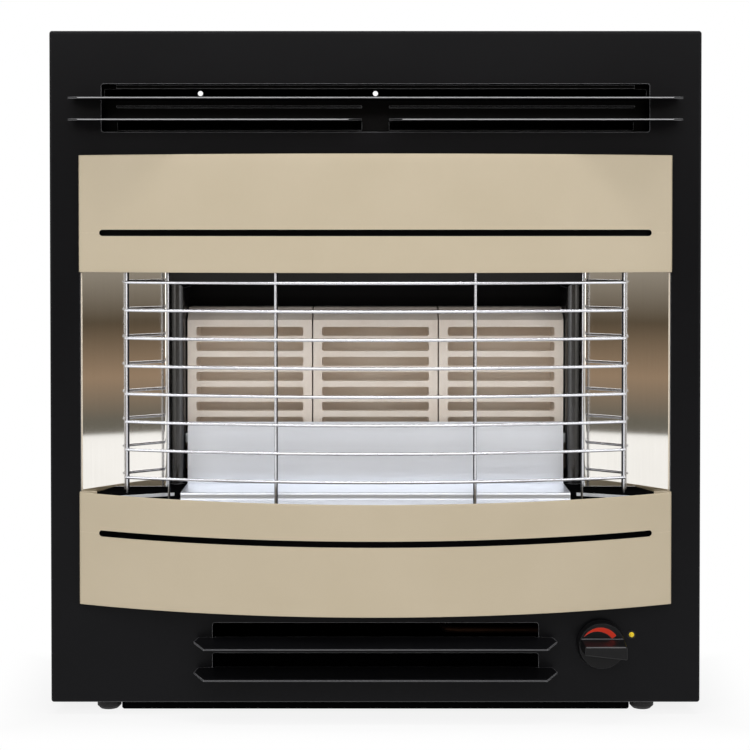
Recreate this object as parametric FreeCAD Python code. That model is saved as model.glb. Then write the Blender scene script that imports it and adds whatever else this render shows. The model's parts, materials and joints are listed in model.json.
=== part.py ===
# Radiant gas fire: a floor-standing steel case with a bowed fascia, a wire guard,
# three ceramic radiants, a push-and-turn gas tap and a flue spigot at the back.
# Millimetres. X runs to the viewer's right, Y runs back into the fire, Z runs up.
# The origin is on the floor, at the middle of the whole fire.
import FreeCAD, Part
import math
import os

# Case: the front panel is a shallow pan, and the side and top sheets lap inside its rim.
CASE_WIDTH = 550.0
CASE_DEPTH = 150.0
PANEL_HEIGHT = 568.2
PANEL_BOTTOM = 10.3
PANEL_RETURN = 14.0
PANEL_BEND = 2.4
SHEET = 1.2
LAP_GAP = 0.3
SIDE_FLANGE = 14.0
SHEET_BEND = 1.0
CUT_CORNER = 2.0
OVERRUN = 4.0

# Base pan and push-in rubber feet.
FOOT_DIAMETER = 20.5
FOOT_ROUND = 2.5
FOOT_X = 229.0
FOOT_STEM_RADIUS = 3.0
FOOT_BARB = 1.2
FOOT_BARB_HEIGHT = 3.0
FOOT_FLANGE = 58.0
BASE_PAN_CLEARANCE = 1.2
BASE_PAN_WALL = 30.0
BASE_PAN_LIP = 7.0
BASE_PAN_FOOT_GAP = 2.0

# Air outlet: one opening, its outer fins, and a plate with small fins set back behind it.
OUTLET_HALF = 231.0
OUTLET_BOTTOM = 493.3
OUTLET_HEIGHT = 40.5
FIN_THICKNESS = 1.5
FIN_REACH = 30.0
FIN_DROP = 1.7
FIN_CHAMFER = 10.5
FIN_ROOT_CUT = 3.0
FIN_SHOULDER = 13.0
FIN_EDGE = 0.5
UPPER_FIN_HALF = 257.0
UPPER_FIN_Z = 521.0
SPLIT_FIN_Z = 503.0
BRIDGE_HALF = 11.8
INNER_PLATE_SETBACK = 20.0
INNER_PLATE_HALF = 240.0
INNER_PLATE_MARGIN = 8.0
INNER_PLATE_FOOT = 14.0
INNER_FIN_Z = 514.8
INNER_FIN_HALF = 220.0
INNER_FIN_REACH = 8.0
INNER_BAR_HEIGHT = 3.0
INNER_BAR_DROP = 0.2
INNER_SLOT_HEIGHT = 14.0

# Air inlet: two slots low in the panel, each with a fin along its lower edge.
INLET_HALF = 138.0
INLET_SLOT_HEIGHT = 13.9
INLET_SLOT_BOTTOMS = (64.3, 38.6)
LOWER_FIN_HALF = 152.7
LOWER_FIN_REACH = 36.0
FIN_HOOK = 8.0

# Fascia bands: bowed sheets on turned ends, each with one long slot.
FASCIA_HALF = 249.5
FASCIA_SHEET = 1.5
FASCIA_STANDOFF = 6.0
FASCIA_FOOT = 14.0
FASCIA_EDGE = 0.45
UPPER_FASCIA_BOTTOM = 375.3
UPPER_FASCIA_HEIGHT = 98.2
UPPER_FASCIA_BOW = 33.0
LOWER_FASCIA_BOTTOM = 95.4
LOWER_FASCIA_HEIGHT = 94.4
LOWER_BOW_TOP = 70.7
LOWER_BOW_BOTTOM = 53.7
FASCIA_SLOT_HEIGHT = 5.4
FASCIA_SLOT_HALF = 231.5
FASCIA_SLOT_EDGE = 33.0
FASCIA_SCREW_EDGE = 24.0

# Screws: pan heads, one size for the fascia and one for the back.
SCREW_RADIUS = 1.9
SCREW_HOLE_GAP = 0.2
SCREW_HEAD_RADIUS = 3.8
SCREW_HEAD_HEIGHT = 2.2
SCREW_TAIL = 3.0
SCREW_SLOT = 0.9
SCREW_SLOT_DEPTH = 0.9

# Fire opening in the panel, and the splayed reflectors behind its sides.
FIRE_HALF = 249.0
FIRE_BOTTOM = 180.0
FIRE_TOP = 388.0
REFLECTOR_SHEET = 0.8
REFLECTOR_FLANGE = 15.0
REFLECTOR_BEND = 1.6
REFLECTOR_INNER_X = 181.0
REFLECTOR_INNER_DEPTH = 50.0
REFLECTOR_NOSE_X = 177.5
REFLECTOR_NOSE_DEPTH = 16.0
REFLECTOR_TAIL = 14.0

# Shelf under the fire, its bright edge trims, and the polished tray on it.
SHELF_TOP = 189.0
SHELF_FLANGE = 14.0
SHELF_WING_INNER_X = 170.0
SHELF_WING_OUTER_X = 214.0
SHELF_WING_REACH = 20.0
SHELF_WING_INNER_REACH = 2.0
TRIM_HEIGHT = 2.6
TRIM_SHEET = 0.9
TRAY_HALF = 164.0
TRAY_SHEET = 0.8
TRAY_REACH = 7.0
TRAY_DEPTH = 50.0
TRAY_PLATE_TOP = 243.0
TRAY_PLATE_LEAN = 3.0
TRAY_LIP = 5.0
TRAY_APRON_DROP = 7.0
TRAY_APRON_REACH = 8.0
TRAY_BEND = 1.0

# Hood over the fire, with a lip between the cheeks.
HOOD_FLANGE = 8.0
HOOD_LIP_BOTTOM = 365.8
HOOD_LIP_DEPTH = 46.0
HOOD_FLUE_HALF = 120.0
HOOD_FLUE_DEPTH = 30.0

# Cheeks: folded posts with a round nose, one on each side of the radiants.
CHEEK_WIDTH = 13.5
CHEEK_NOSE_DEPTH = 47.5
CHEEK_TOP = 363.6
CHEEK_SHEET = 1.0

# Firebox back and firebrick.
FIREBOX_DEPTH = 112.3
FIREBOX_SIDE = 40.0
FIREBOX_SHEET = 1.2
BRICK_THICKNESS = 12.0
BRICK_BOTTOM = 196.0
BRICK_TOP = 340.0

# Radiants: hollow slotted ceramic blocks, side by side.
RADIANT_COUNT = 3
RADIANT_WIDTH = 109.2
RADIANT_GAP = 1.2
RADIANT_FRONT_DEPTH = 60.0
RADIANT_BOTTOM = 233.0
RADIANT_SHOULDER = 331.7
RADIANT_TOP = 342.4
RADIANT_SLOPE = 15.0
RADIANT_WALL = 9.0
RADIANT_SIDE = 7.6
RADIANT_SLOT_COUNT = 7
RADIANT_SLOT_PITCH = 13.16
RADIANT_SLOT_HEIGHT = 8.0
RADIANT_SLOT_TOP = 321.6
RAIL_SHEET = 1.2
RAIL_LEG = 9.0
RAIL_GAP = 0.4

# Burner bar with its ports, brackets, venturi and injector.
BURNER_END_ROOM = 38.4
BURNER_DEPTH = 20.0
BURNER_HEIGHT = 20.0
BURNER_RISE = 18.0
BURNER_SHEET = 1.0
BURNER_ROUND = 4.0
PORT_RADIUS = 1.4
PORT_COUNT = 18
PORT_ROW_OFFSET = 4.5
PORT_MARGIN = 12.0
BURNER_BRACKET_X = 100.0
BURNER_BRACKET_WIDTH = 16.0
VENTURI_X = 60.0
VENTURI_RADIUS = 7.0
VENTURI_WALL = 1.0
VENTURI_BELL = 3.5
VENTURI_LENGTH = 46.0
VENTURI_BELL_LENGTH = 12.0
INJECTOR_RADIUS = 4.0
INJECTOR_HEX = 6.5
INJECTOR_HEX_HEIGHT = 9.0
INJECTOR_NOSE = 9.0
PASSAGE_GAP = 1.0

# Pilot at the left end of the burner.
PILOT_GAP = 18.0
PILOT_RADIUS = 3.5
PILOT_HOOD_RADIUS = 5.0
PILOT_HOOD_HEIGHT = 8.0
PILOT_TOP = 229.0
PILOT_ROD_RADIUS = 1.5
PILOT_ROD_PITCH = 8.5
PILOT_INSULATOR_RADIUS = 2.6
PILOT_INSULATOR_HEIGHT = 18.0
PILOT_BRACKET_HEIGHT = 14.0
PILOT_BRACKET_SHEET = 1.2
PILOT_BRACKET_HALF = 14.0

# Gas valve behind the knob, on a bracket from the base pan.
KNOB_X = 190.5
KNOB_Z = 61.0
PUSH_TRAVEL = 4.0
SPINDLE_RADIUS = 4.0
RUNNING_GAP = 0.05
SPINDLE_COLLAR_RADIUS = 5.6
SPINDLE_COLLAR_LENGTH = 1.5
SPINDLE_COLLAR_DEPTH = 3.2
TANG_THICKNESS = 3.0
TANG_WIDTH = 6.8
TANG_LENGTH = 10.5
WASHER_RADIUS = 6.5
WASHER_LENGTH = 1.0
MOVING_GAP = 0.3
SPRING_LENGTH = 12.0
SPRING_WIRE_RADIUS = 0.45
SPRING_RADIUS = 5.6
SPRING_TURNS = 5
SPRING_ARCS_PER_TURN = 4
NOSE_RADIUS = 9.0
NOSE_LENGTH = 12.0
VALVE_HALF = 17.0
VALVE_LENGTH = 38.0
VALVE_ROUND = 3.0
PLUG_STUB_RADIUS = 6.0
PLUG_STUB_SETBACK = 2.0
PLUG_STUB_LENGTH = 12.0
PLUG_LARGE_RADIUS = 8.0
PLUG_SMALL_RADIUS = 7.0
PLUG_LENGTH = 18.0
TANG_SLOT_DEPTH = 10.5
VALVE_BRACKET_SHEET = 1.5
VALVE_BRACKET_HALF = 21.0
VALVE_BRACKET_FOOT = 13.0

# Control knob: round skirt, tapered grip bar, inlaid crescent, and the index stud.
KNOB_RADIUS = 20.5
KNOB_NOSE_RADIUS = 19.0
KNOB_BACK_REACH = 4.5
KNOB_SKIRT_REACH = 12.0
KNOB_GRIP_REACH = 38.5
KNOB_WALL = 2.2
KNOB_HUB_RADIUS = 7.0
KNOB_GRIP_HALF = 18.4
KNOB_GRIP_TOP = 5.9
KNOB_GRIP_THICK = 12.2
KNOB_GRIP_THIN = 8.2
KNOB_GRIP_TAPER = 0.6
KNOB_ROUND = 1.2
KNOB_BORE_DEPTH = 26.0
MARK_OUTER_RADIUS = 16.2
MARK_OUTER_LEFT = 1.3
MARK_OUTER_DOWN = 0.5
MARK_INNER_RADIUS = 15.6
MARK_INNER_LEFT = 4.0
MARK_INNER_DOWN = 3.2
MARK_DEPTH = 0.5
MARK_START_ANGLE = 37.0
MARK_END_ANGLE = 160.0
STUD_X = 216.8
STUD_Z = 68.2
STUD_RADIUS = 2.2
STUD_COLLAR_RADIUS = 3.4
STUD_COLLAR_HEIGHT = 0.8
STUD_DOME = 0.8
STUD_TAIL = 5.0

# Pipes and leads.
INLET_PIPE_RADIUS = 4.0
INLET_PIPE_BORE = 3.2
UNION_BORE = 4.1
UNION_RADIUS = 7.5
UNION_HEX = 10.0
UNION_HEX_LENGTH = 8.0
UNION_REACH = 16.0
UNION_SHOULDER = 12.0
SUPPLY_PIPE_RADIUS = 3.0
SUPPLY_BEND = 12.0
SUPPLY_DEPTH = 50.0
PILOT_PIPE_RADIUS = 2.0
LEAD_RADIUS = 1.5
SPARK_LEAD_RADIUS = 2.2
LEAD_BEND = 8.0
LEAD_FIRST_Z = 104.0
LEAD_STEP_Z = 12.0
LEAD_STEP_DEPTH = 11.0

# Flue collector and spigot.
COLLECTOR_HALF = 130.0
COLLECTOR_FRONT_DEPTH = 60.0
COLLECTOR_HEIGHT = 84.0
COLLECTOR_SHEET = 1.0
COLLECTOR_ROUND = 8.0
SPIGOT_HALF = 75.0
SPIGOT_HEIGHT = 60.0
SPIGOT_SHEET = 1.2
SPIGOT_FLANGE = 10.0
SPIGOT_REACH = 40.0

# Back panel fixing holes and screws.
FIXING_SPACING = 162.0
FIXING_RADIUS = 2.4
FIXING_Z = 537.0
BACK_MARGIN = 8.0
BACK_SCREW_COUNT = 4

# Wire guard: bowed bars in front of uprights whose ends hook into the panel.
BAR_COUNT = 8
BAR_RADIUS = 1.3
BAR_TOP_Z = 366.8
BAR_PITCH = 23.5
BAR_OVERHANG = 2.0
GUARD_HALF = 209.0
GUARD_BOW = 32.0
GUARD_STANDOFF = 5.6
UPRIGHT_RADIUS = 1.5
THIN_UPRIGHT_RADIUS = 1.0
INNER_UPRIGHT_X = 82.4
THIN_UPRIGHT_X = 173.0
THIN_UPRIGHT_OVERHANG = 20.0
HOOK_DROP = 12.0
HOOK_TAIL = 8.0
HOOK_BEND = 4.0

# Places that follow from the sizes above.
OVERALL_REACH = FASCIA_STANDOFF + LOWER_BOW_TOP
PANEL_Y = (OVERALL_REACH - CASE_DEPTH - SPIGOT_REACH) / 2
PANEL_TOP = PANEL_BOTTOM + PANEL_HEIGHT
RIM_X = CASE_WIDTH / 2 - SHEET - LAP_GAP
RIM_DEPTH = PANEL_BEND + LAP_GAP
SIDE_BOTTOM = PANEL_BOTTOM + SHEET + LAP_GAP
TOP_Z = PANEL_TOP - SHEET - LAP_GAP
SIDE_INNER_X = RIM_X - SHEET
FLANGE_DEPTH = CASE_DEPTH - SHEET
FOOT_DEPTH = PANEL_RETURN + LAP_GAP + FOOT_DIAMETER / 2
BASE_PAN_HALF = FOOT_X - FOOT_DIAMETER / 2 - BASE_PAN_FOOT_GAP
BASE_PAN_FRONT = PANEL_RETURN + LAP_GAP
CHEEK_OUTER_X = REFLECTOR_INNER_X - REFLECTOR_SHEET - LAP_GAP
CHEEK_INNER_X = CHEEK_OUTER_X - CHEEK_WIDTH
REFLECTOR_TOP = FIRE_TOP - HOOD_FLANGE + SHEET
HOOD_Z = REFLECTOR_TOP + HOOD_FLANGE
BRICK_DEPTH = FIREBOX_DEPTH - FIREBOX_SHEET - BRICK_THICKNESS
RADIANT_BACK_DEPTH = BRICK_DEPTH
RADIANT_MIDDLE_DEPTH = (RADIANT_FRONT_DEPTH + RADIANT_WALL + RADIANT_BACK_DEPTH) / 2
BURNER_BOTTOM = SHELF_TOP + BURNER_RISE
BURNER_HALF = CHEEK_INNER_X - BURNER_END_ROOM
PILOT_X = -BURNER_HALF - PILOT_GAP
SPRING_DEPTH = SPINDLE_COLLAR_DEPTH + SPINDLE_COLLAR_LENGTH + MOVING_GAP + WASHER_LENGTH
NOSE_DEPTH = SPRING_DEPTH + SPRING_LENGTH
VALVE_DEPTH = NOSE_DEPTH + NOSE_LENGTH
PLUG_DEPTH = VALVE_DEPTH + PLUG_STUB_SETBACK
VALVE_END_DEPTH = VALVE_DEPTH + VALVE_LENGTH
TANG_DEPTH = PLUG_DEPTH - PUSH_TRAVEL - PLUG_STUB_SETBACK
COLLECTOR_BOTTOM = HOOD_Z + SHEET
FLUE_Z = COLLECTOR_BOTTOM + COLLECTOR_HEIGHT / 2
GUARD_ARC = (GUARD_HALF**2 + GUARD_BOW**2) / (2 * GUARD_BOW)
GUARD_CENTRE_Y = PANEL_Y - GUARD_STANDOFF - GUARD_BOW + GUARD_ARC
HOOK_HEIGHTS = (FIRE_BOTTOM - HOOK_DROP, FIRE_TOP + HOOK_DROP)
BAR_BOTTOM_Z = BAR_TOP_Z - (BAR_COUNT - 1) * BAR_PITCH
UP = FreeCAD.Vector(0, 0, 1)
BACK = FreeCAD.Vector(0, 1, 0)
RIGHT = FreeCAD.Vector(1, 0, 0)


def point(x, depth, z):
    """A point given by its depth behind the panel's front face."""
    return FreeCAD.Vector(x, PANEL_Y + depth, z)


def block(x0, x1, depth0, depth1, z0, z1):
    """A box between two corners, with depths counted from the panel's front face."""
    return Part.makeBox(x1 - x0, depth1 - depth0, z1 - z0, point(x0, depth0, z0))


def rod(start, end, radius):
    """A round bar from one point to another."""
    return Part.makeCylinder(radius, (end - start).Length, start, end - start)


def mirrored(shape):
    """The same piece on the other side of the fire."""
    return shape.mirror(FreeCAD.Vector(0, 0, 0), RIGHT)


def rounded_path(points, radii):
    """Straight edges joined by tangent arcs, one radius for each inner corner."""
    edges = []
    start = points[0]
    for before, corner, after, radius in zip(points, points[1:], points[2:], radii):
        toward = (before - corner).normalize()
        away = (after - corner).normalize()
        half = toward.getAngle(away) / 2
        cut = radius / math.tan(half)
        middle = corner + (toward + away).normalize() * (radius / math.sin(half) - radius)
        edges.append(Part.LineSegment(start, corner + toward * cut).toShape())
        edges.append(Part.Arc(corner + toward * cut, middle, corner + away * cut).toShape())
        start = corner + away * cut
    edges.append(Part.LineSegment(start, points[-1]).toShape())
    return edges


def folded(points, sheet, bend, normal, run):
    """A folded sheet: one face follows the points, the sheet lies on their left about the normal."""
    ways = [(after - before).normalize() for before, after in zip(points, points[1:])]
    lefts = [normal.cross(way) for way in ways]
    far = [points[0] + lefts[0] * sheet]
    near_radii = []
    far_radii = []
    for corner, before, after, way, turn in zip(points[1:], lefts, lefts[1:], ways, ways[1:]):
        far.append(corner + (before + after) * (sheet / (1 + before.dot(after))))
        left_turn = way.cross(turn).dot(normal) > 0
        near_radii.append(bend + sheet if left_turn else bend)
        far_radii.append(bend if left_turn else bend + sheet)
    far.append(points[-1] + lefts[-1] * sheet)
    edges = rounded_path(points, near_radii)
    edges.append(Part.LineSegment(points[-1], far[-1]).toShape())
    edges.extend(rounded_path(far[::-1], far_radii[::-1]))
    edges.append(Part.LineSegment(far[0], points[0]).toShape())
    return Part.Face(Part.Wire(Part.__sortEdges__(edges))).extrude(run)


def pipe(points, radius, bend):
    """A round bar bent along straight runs and arcs."""
    path = Part.Wire(rounded_path(points, [bend] * (len(points) - 2)))
    ring = Part.Wire(Part.makeCircle(radius, points[0], points[1] - points[0]))
    return path.makePipeShell([ring], True, False)


def revolved(profile, origin, axis):
    """A solid turned about an axis from (radius, height) pairs."""
    side = axis.cross(UP) if abs(axis.dot(UP)) < abs(axis.dot(BACK)) else RIGHT
    corners = [origin + side * radius + axis * height for radius, height in profile]
    face = Part.Face(Part.makePolygon(corners + corners[:1]))
    return face.revolve(origin, axis, 360)


def hexagon(across, length, start, axis):
    """A hexagonal prism with the given half width across its flats."""
    side = axis.cross(UP) if abs(axis.dot(UP)) < abs(axis.dot(BACK)) else RIGHT
    spin = FreeCAD.Rotation(axis, 60)
    corner = side * (across / math.cos(math.pi / 6))
    corners = [start]
    for _ in range(6):
        corners.append(start + corner)
        corner = spin.multVec(corner)
    corners = corners[1:] + corners[1:2]
    return Part.Face(Part.makePolygon(corners)).extrude(axis * length)


def slot_bar(half, height, z, depth0, depth1, x=0):
    """A bar with rounded ends that runs back along Y, for slots and for the flue."""
    radius = height / 2
    reach = half - radius
    top = [point(x - reach, depth0, z + radius), point(x + reach, depth0, z + radius)]
    low = [point(x + reach, depth0, z - radius), point(x - reach, depth0, z - radius)]
    edges = [
        Part.LineSegment(top[0], top[1]).toShape(),
        Part.Arc(top[1], point(x + half, depth0, z), low[0]).toShape(),
        Part.LineSegment(low[0], low[1]).toShape(),
        Part.Arc(low[1], point(x - half, depth0, z), top[0]).toShape(),
    ]
    return Part.Face(Part.Wire(edges)).extrude(BACK * (depth1 - depth0))


def window(half, bottom, top, depth0, depth1):
    """A rectangular cut with rounded corners that runs back along Y."""
    cut = block(-half, half, depth0, depth1, bottom, top)
    return cut.makeFillet(CUT_CORNER, along_y(cut))


def along_y(shape):
    """The straight edges of a shape that run front to back."""
    return [edge for edge in shape.Edges if edge.BoundBox.YLength > edge.Length - LAP_GAP]


def screw(seat, axis, length):
    """A slotted pan-head screw whose head sits on a face and whose shank runs along the axis."""
    side = SCREW_HEAD_RADIUS / 2
    head = revolved(
        [
            (0, 0),
            (SCREW_HEAD_RADIUS, 0),
            (SCREW_HEAD_RADIUS, -SCREW_HEAD_HEIGHT / 2),
            (side, -SCREW_HEAD_HEIGHT),
            (0, -SCREW_HEAD_HEIGHT),
        ],
        seat,
        axis,
    )
    slot = Part.makeBox(SCREW_SLOT, 2 * SCREW_HEAD_RADIUS, SCREW_SLOT_DEPTH)
    slot.translate(FreeCAD.Vector(-SCREW_SLOT / 2, -SCREW_HEAD_RADIUS, -SCREW_HEAD_HEIGHT))
    slot.Placement = FreeCAD.Placement(seat, FreeCAD.Rotation(UP, axis)) * slot.Placement
    return head.cut(slot).fuse(rod(seat, seat + axis * length, SCREW_RADIUS))


def fascia_screw_places():
    """Where the panel is drilled for the fascia's turned ends."""
    x = FASCIA_HALF - FASCIA_FOOT / 2
    heights = []
    for bottom, height in (
        (UPPER_FASCIA_BOTTOM, UPPER_FASCIA_HEIGHT),
        (LOWER_FASCIA_BOTTOM, LOWER_FASCIA_HEIGHT),
    ):
        heights.append(bottom + FASCIA_SCREW_EDGE)
        heights.append(bottom + height - FASCIA_SCREW_EDGE)
    places = [(side * x, z) for side in (-1, 1) for z in heights]
    return [(x, z) for x, z in places if z > FIRE_TOP or z < FIRE_BOTTOM]


def guard_y(x, inset):
    """The guard's bow: the Y of an arc set in from the bars' own arc."""
    return GUARD_CENTRE_Y - math.sqrt((GUARD_ARC - inset) ** 2 - x**2)


def front_panel():
    """The shallow pan of the front, with every opening cut through it."""
    half = CASE_WIDTH / 2
    pan = block(-half, half, 0, PANEL_RETURN, PANEL_BOTTOM, PANEL_TOP)
    front = [edge for edge in pan.Edges if edge.BoundBox.YMax < PANEL_Y + LAP_GAP]
    pan = pan.makeFillet(PANEL_BEND, front + along_y(pan))
    rear = [face for face in pan.Faces if face.BoundBox.YMin > PANEL_Y + PANEL_RETURN - LAP_GAP]
    pan = pan.makeThickness(rear, -SHEET, LAP_GAP / 1000)
    through = (-OVERRUN, SHEET + OVERRUN)
    cuts = [window(OUTLET_HALF, OUTLET_BOTTOM, OUTLET_BOTTOM + OUTLET_HEIGHT, *through)]
    cuts.append(window(FIRE_HALF, FIRE_BOTTOM, FIRE_TOP, *through))
    for bottom in INLET_SLOT_BOTTOMS:
        cuts.append(window(INLET_HALF, bottom, bottom + INLET_SLOT_HEIGHT, *through))
    holes = [(KNOB_X, KNOB_Z, SPINDLE_COLLAR_RADIUS + MOVING_GAP), (STUD_X, STUD_Z, STUD_RADIUS)]
    for x in (GUARD_HALF, INNER_UPRIGHT_X):
        for z in HOOK_HEIGHTS:
            holes.append((x, z, UPRIGHT_RADIUS + LAP_GAP))
            holes.append((-x, z, UPRIGHT_RADIUS + LAP_GAP))
    for x, z in fascia_screw_places():
        holes.append((x, z, SCREW_RADIUS + SCREW_HOLE_GAP))
    for x, z, radius in holes:
        cuts.append(rod(point(x, through[0], z), point(x, through[1], z), radius))
    return pan.cut(cuts)


def right_side_panel():
    """A side sheet with a rear flange for the back panel and a foot flange below."""
    wall = [
        point(RIM_X - SIDE_FLANGE, FLANGE_DEPTH, SIDE_BOTTOM),
        point(RIM_X, FLANGE_DEPTH, SIDE_BOTTOM),
        point(RIM_X, RIM_DEPTH, SIDE_BOTTOM),
    ]
    height = TOP_Z - SHEET - LAP_GAP - SIDE_BOTTOM
    sheet = folded(wall, SHEET, SHEET_BEND, -UP, UP * height)
    foot = block(
        RIM_X - FOOT_FLANGE,
        SIDE_INNER_X,
        PANEL_RETURN + LAP_GAP,
        FLANGE_DEPTH - SHEET - LAP_GAP,
        SIDE_BOTTOM,
        SIDE_BOTTOM + SHEET,
    )
    pan = block(
        -BASE_PAN_HALF - SHEET_BEND,
        BASE_PAN_HALF + SHEET_BEND,
        0,
        CASE_DEPTH,
        SIDE_BOTTOM - OVERRUN,
        SIDE_BOTTOM + OVERRUN,
    )
    side = sheet.fuse(foot).cut(pan)
    for depth in foot_depths():
        start = point(FOOT_X, depth, SIDE_BOTTOM - OVERRUN)
        side = side.cut(rod(start, start + UP * 2 * OVERRUN, FOOT_STEM_RADIUS))
    for x, z in back_screw_places():
        if x > 0:
            start = point(x, FLANGE_DEPTH - SHEET - OVERRUN, z)
            side = side.cut(rod(start, start + BACK * 2 * OVERRUN, SCREW_RADIUS + SCREW_HOLE_GAP))
    return side


def left_side_panel():
    """The left side sheet is the right one's mirror image."""
    return mirrored(right_side_panel())


def top_panel():
    """The top sheet, with a rear flange for the back panel."""
    half = RIM_X - LAP_GAP
    wall = [
        point(-half, RIM_DEPTH, TOP_Z),
        point(-half, FLANGE_DEPTH, TOP_Z),
        point(-half, FLANGE_DEPTH, TOP_Z - SHEET - SIDE_FLANGE / 2),
    ]
    sheet = folded(wall, SHEET, SHEET_BEND, -RIGHT, RIGHT * 2 * half)
    corner = RIM_X - SIDE_FLANGE - LAP_GAP
    for side in (-1, 1):
        inner, outer = sorted((side * corner, side * CASE_WIDTH))
        notch = block(
            inner,
            outer,
            FLANGE_DEPTH - SHEET - SHEET_BEND,
            CASE_DEPTH,
            TOP_Z - SIDE_FLANGE - OVERRUN,
            TOP_Z - SHEET,
        )
        sheet = sheet.cut(notch)
    return sheet


def back_screw_places():
    """Where the back panel is screwed to the side flanges."""
    x = RIM_X - SIDE_FLANGE / 2
    low = SIDE_BOTTOM + BASE_PAN_WALL
    high = TOP_Z - BASE_PAN_WALL
    step = (high - low) / (BACK_SCREW_COUNT - 1)
    return [(side * x, low + step * row) for side in (-1, 1) for row in range(BACK_SCREW_COUNT)]


def back_panel():
    """The flat back, with the flue hole, the gas entry and the two wall fixing holes."""
    half = RIM_X - LAP_GAP
    sheet = block(-half, half, FLANGE_DEPTH, CASE_DEPTH, SIDE_BOTTOM, TOP_Z)
    sheet = sheet.makeFillet(BACK_MARGIN, along_y(sheet))
    through = (FLANGE_DEPTH - OVERRUN, CASE_DEPTH + OVERRUN)
    cuts = [slot_bar(SPIGOT_HALF + LAP_GAP, SPIGOT_HEIGHT + 2 * LAP_GAP, FLUE_Z, *through)]
    holes = [(KNOB_X, KNOB_Z, UNION_RADIUS + LAP_GAP)]
    holes.append((-FIXING_SPACING, FIXING_Z, FIXING_RADIUS))
    holes.append((0, FIXING_Z, FIXING_RADIUS))
    for x, z in back_screw_places():
        holes.append((x, z, SCREW_RADIUS + SCREW_HOLE_GAP))
    for x, z, radius in holes:
        cuts.append(rod(point(x, through[0], z), point(x, through[1], z), radius))
    return sheet.cut(cuts)


def back_screws():
    """The screws that hold the back panel to the side flanges."""
    length = 2 * SHEET + SCREW_TAIL
    return [screw(point(x, CASE_DEPTH, z), -BACK, length) for x, z in back_screw_places()]


def foot_depths():
    """How far behind the panel's face the front and rear feet stand."""
    return (FOOT_DEPTH, CASE_DEPTH - FOOT_DEPTH)


def base_pan():
    """The pan between the feet, hung by its lips on the side panels' foot flanges."""
    bottom = BASE_PAN_CLEARANCE
    seat = SIDE_BOTTOM + SHEET
    rear = FLANGE_DEPTH - SHEET - LAP_GAP
    outer = BASE_PAN_HALF + BASE_PAN_LIP
    section = [
        point(-outer, BASE_PAN_FRONT, seat),
        point(-BASE_PAN_HALF, BASE_PAN_FRONT, seat),
        point(-BASE_PAN_HALF, BASE_PAN_FRONT, bottom),
        point(BASE_PAN_HALF, BASE_PAN_FRONT, bottom),
        point(BASE_PAN_HALF, BASE_PAN_FRONT, seat),
        point(outer, BASE_PAN_FRONT, seat),
    ]
    pan = folded(section, SHEET, SHEET_BEND, -BACK, BACK * (rear - BASE_PAN_FRONT))
    half = BASE_PAN_HALF - SHEET - SHEET_BEND
    walls = [
        block(-half, half, BASE_PAN_FRONT, BASE_PAN_FRONT + SHEET, bottom, BASE_PAN_WALL),
        block(-half, half, rear - SHEET, rear, bottom, BASE_PAN_WALL),
    ]
    return pan.fuse(walls)


def feet():
    """Four push-in rubber feet: a round pad, a stem through the flange and a barb above it."""
    radius = FOOT_DIAMETER / 2
    top = SIDE_BOTTOM + SHEET
    barb = FOOT_STEM_RADIUS + FOOT_BARB
    profile = [
        (0, 0),
        (radius - FOOT_ROUND, 0),
        (radius, FOOT_ROUND),
        (radius, SIDE_BOTTOM),
        (FOOT_STEM_RADIUS, SIDE_BOTTOM),
        (FOOT_STEM_RADIUS, top),
        (barb, top),
        (FOOT_STEM_RADIUS, top + FOOT_BARB_HEIGHT),
        (0, top + FOOT_BARB_HEIGHT),
    ]
    places = [(side * FOOT_X, depth) for side in (-1, 1) for depth in foot_depths()]
    return [revolved(profile, point(x, depth, 0), UP) for x, depth in places]


def fin(start, end, root_z, reach, tail_start, tail_end, tail_depth):
    """One louvre fin: a six sided blade that leans down a little, and a flat tail through the opening.

    start and end are the blade's widest places along X, reach is how far it stands out of the panel,
    and the tail runs back from tail_start to tail_end.
    """
    shoulder_z = root_z - FIN_DROP * FIN_SHOULDER / reach
    corners = [
        point(start + FIN_ROOT_CUT, 0, root_z),
        point(start, -FIN_SHOULDER, shoulder_z),
        point(start + FIN_CHAMFER, -reach, root_z - FIN_DROP),
        point(end - FIN_CHAMFER, -reach, root_z - FIN_DROP),
        point(end, -FIN_SHOULDER, shoulder_z),
        point(end - FIN_ROOT_CUT, 0, root_z),
    ]
    blade = Part.Face(Part.makePolygon(corners + corners[:1])).extrude(UP * FIN_THICKNESS)
    front = [edge for edge in blade.Edges if edge.BoundBox.YMax < PANEL_Y - reach + LAP_GAP]
    blade = blade.makeFillet(FIN_EDGE, [edge for edge in front if edge.BoundBox.ZLength < FIN_EDGE])
    tail = block(tail_start, tail_end, 0, tail_depth, root_z, root_z + FIN_THICKNESS)
    return blade.fuse(tail).removeSplitter()


def upper_fins():
    """The full width fin, and the fin below it in two halves beside the bridge."""
    half = OUTLET_HALF - LAP_GAP
    tail = INNER_PLATE_SETBACK
    full = fin(-UPPER_FIN_HALF, UPPER_FIN_HALF, UPPER_FIN_Z, FIN_REACH, -half, half, tail)
    right = fin(BRIDGE_HALF, UPPER_FIN_HALF, SPLIT_FIN_Z, FIN_REACH, BRIDGE_HALF, half, tail)
    return [full, right, mirrored(right)]


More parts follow.
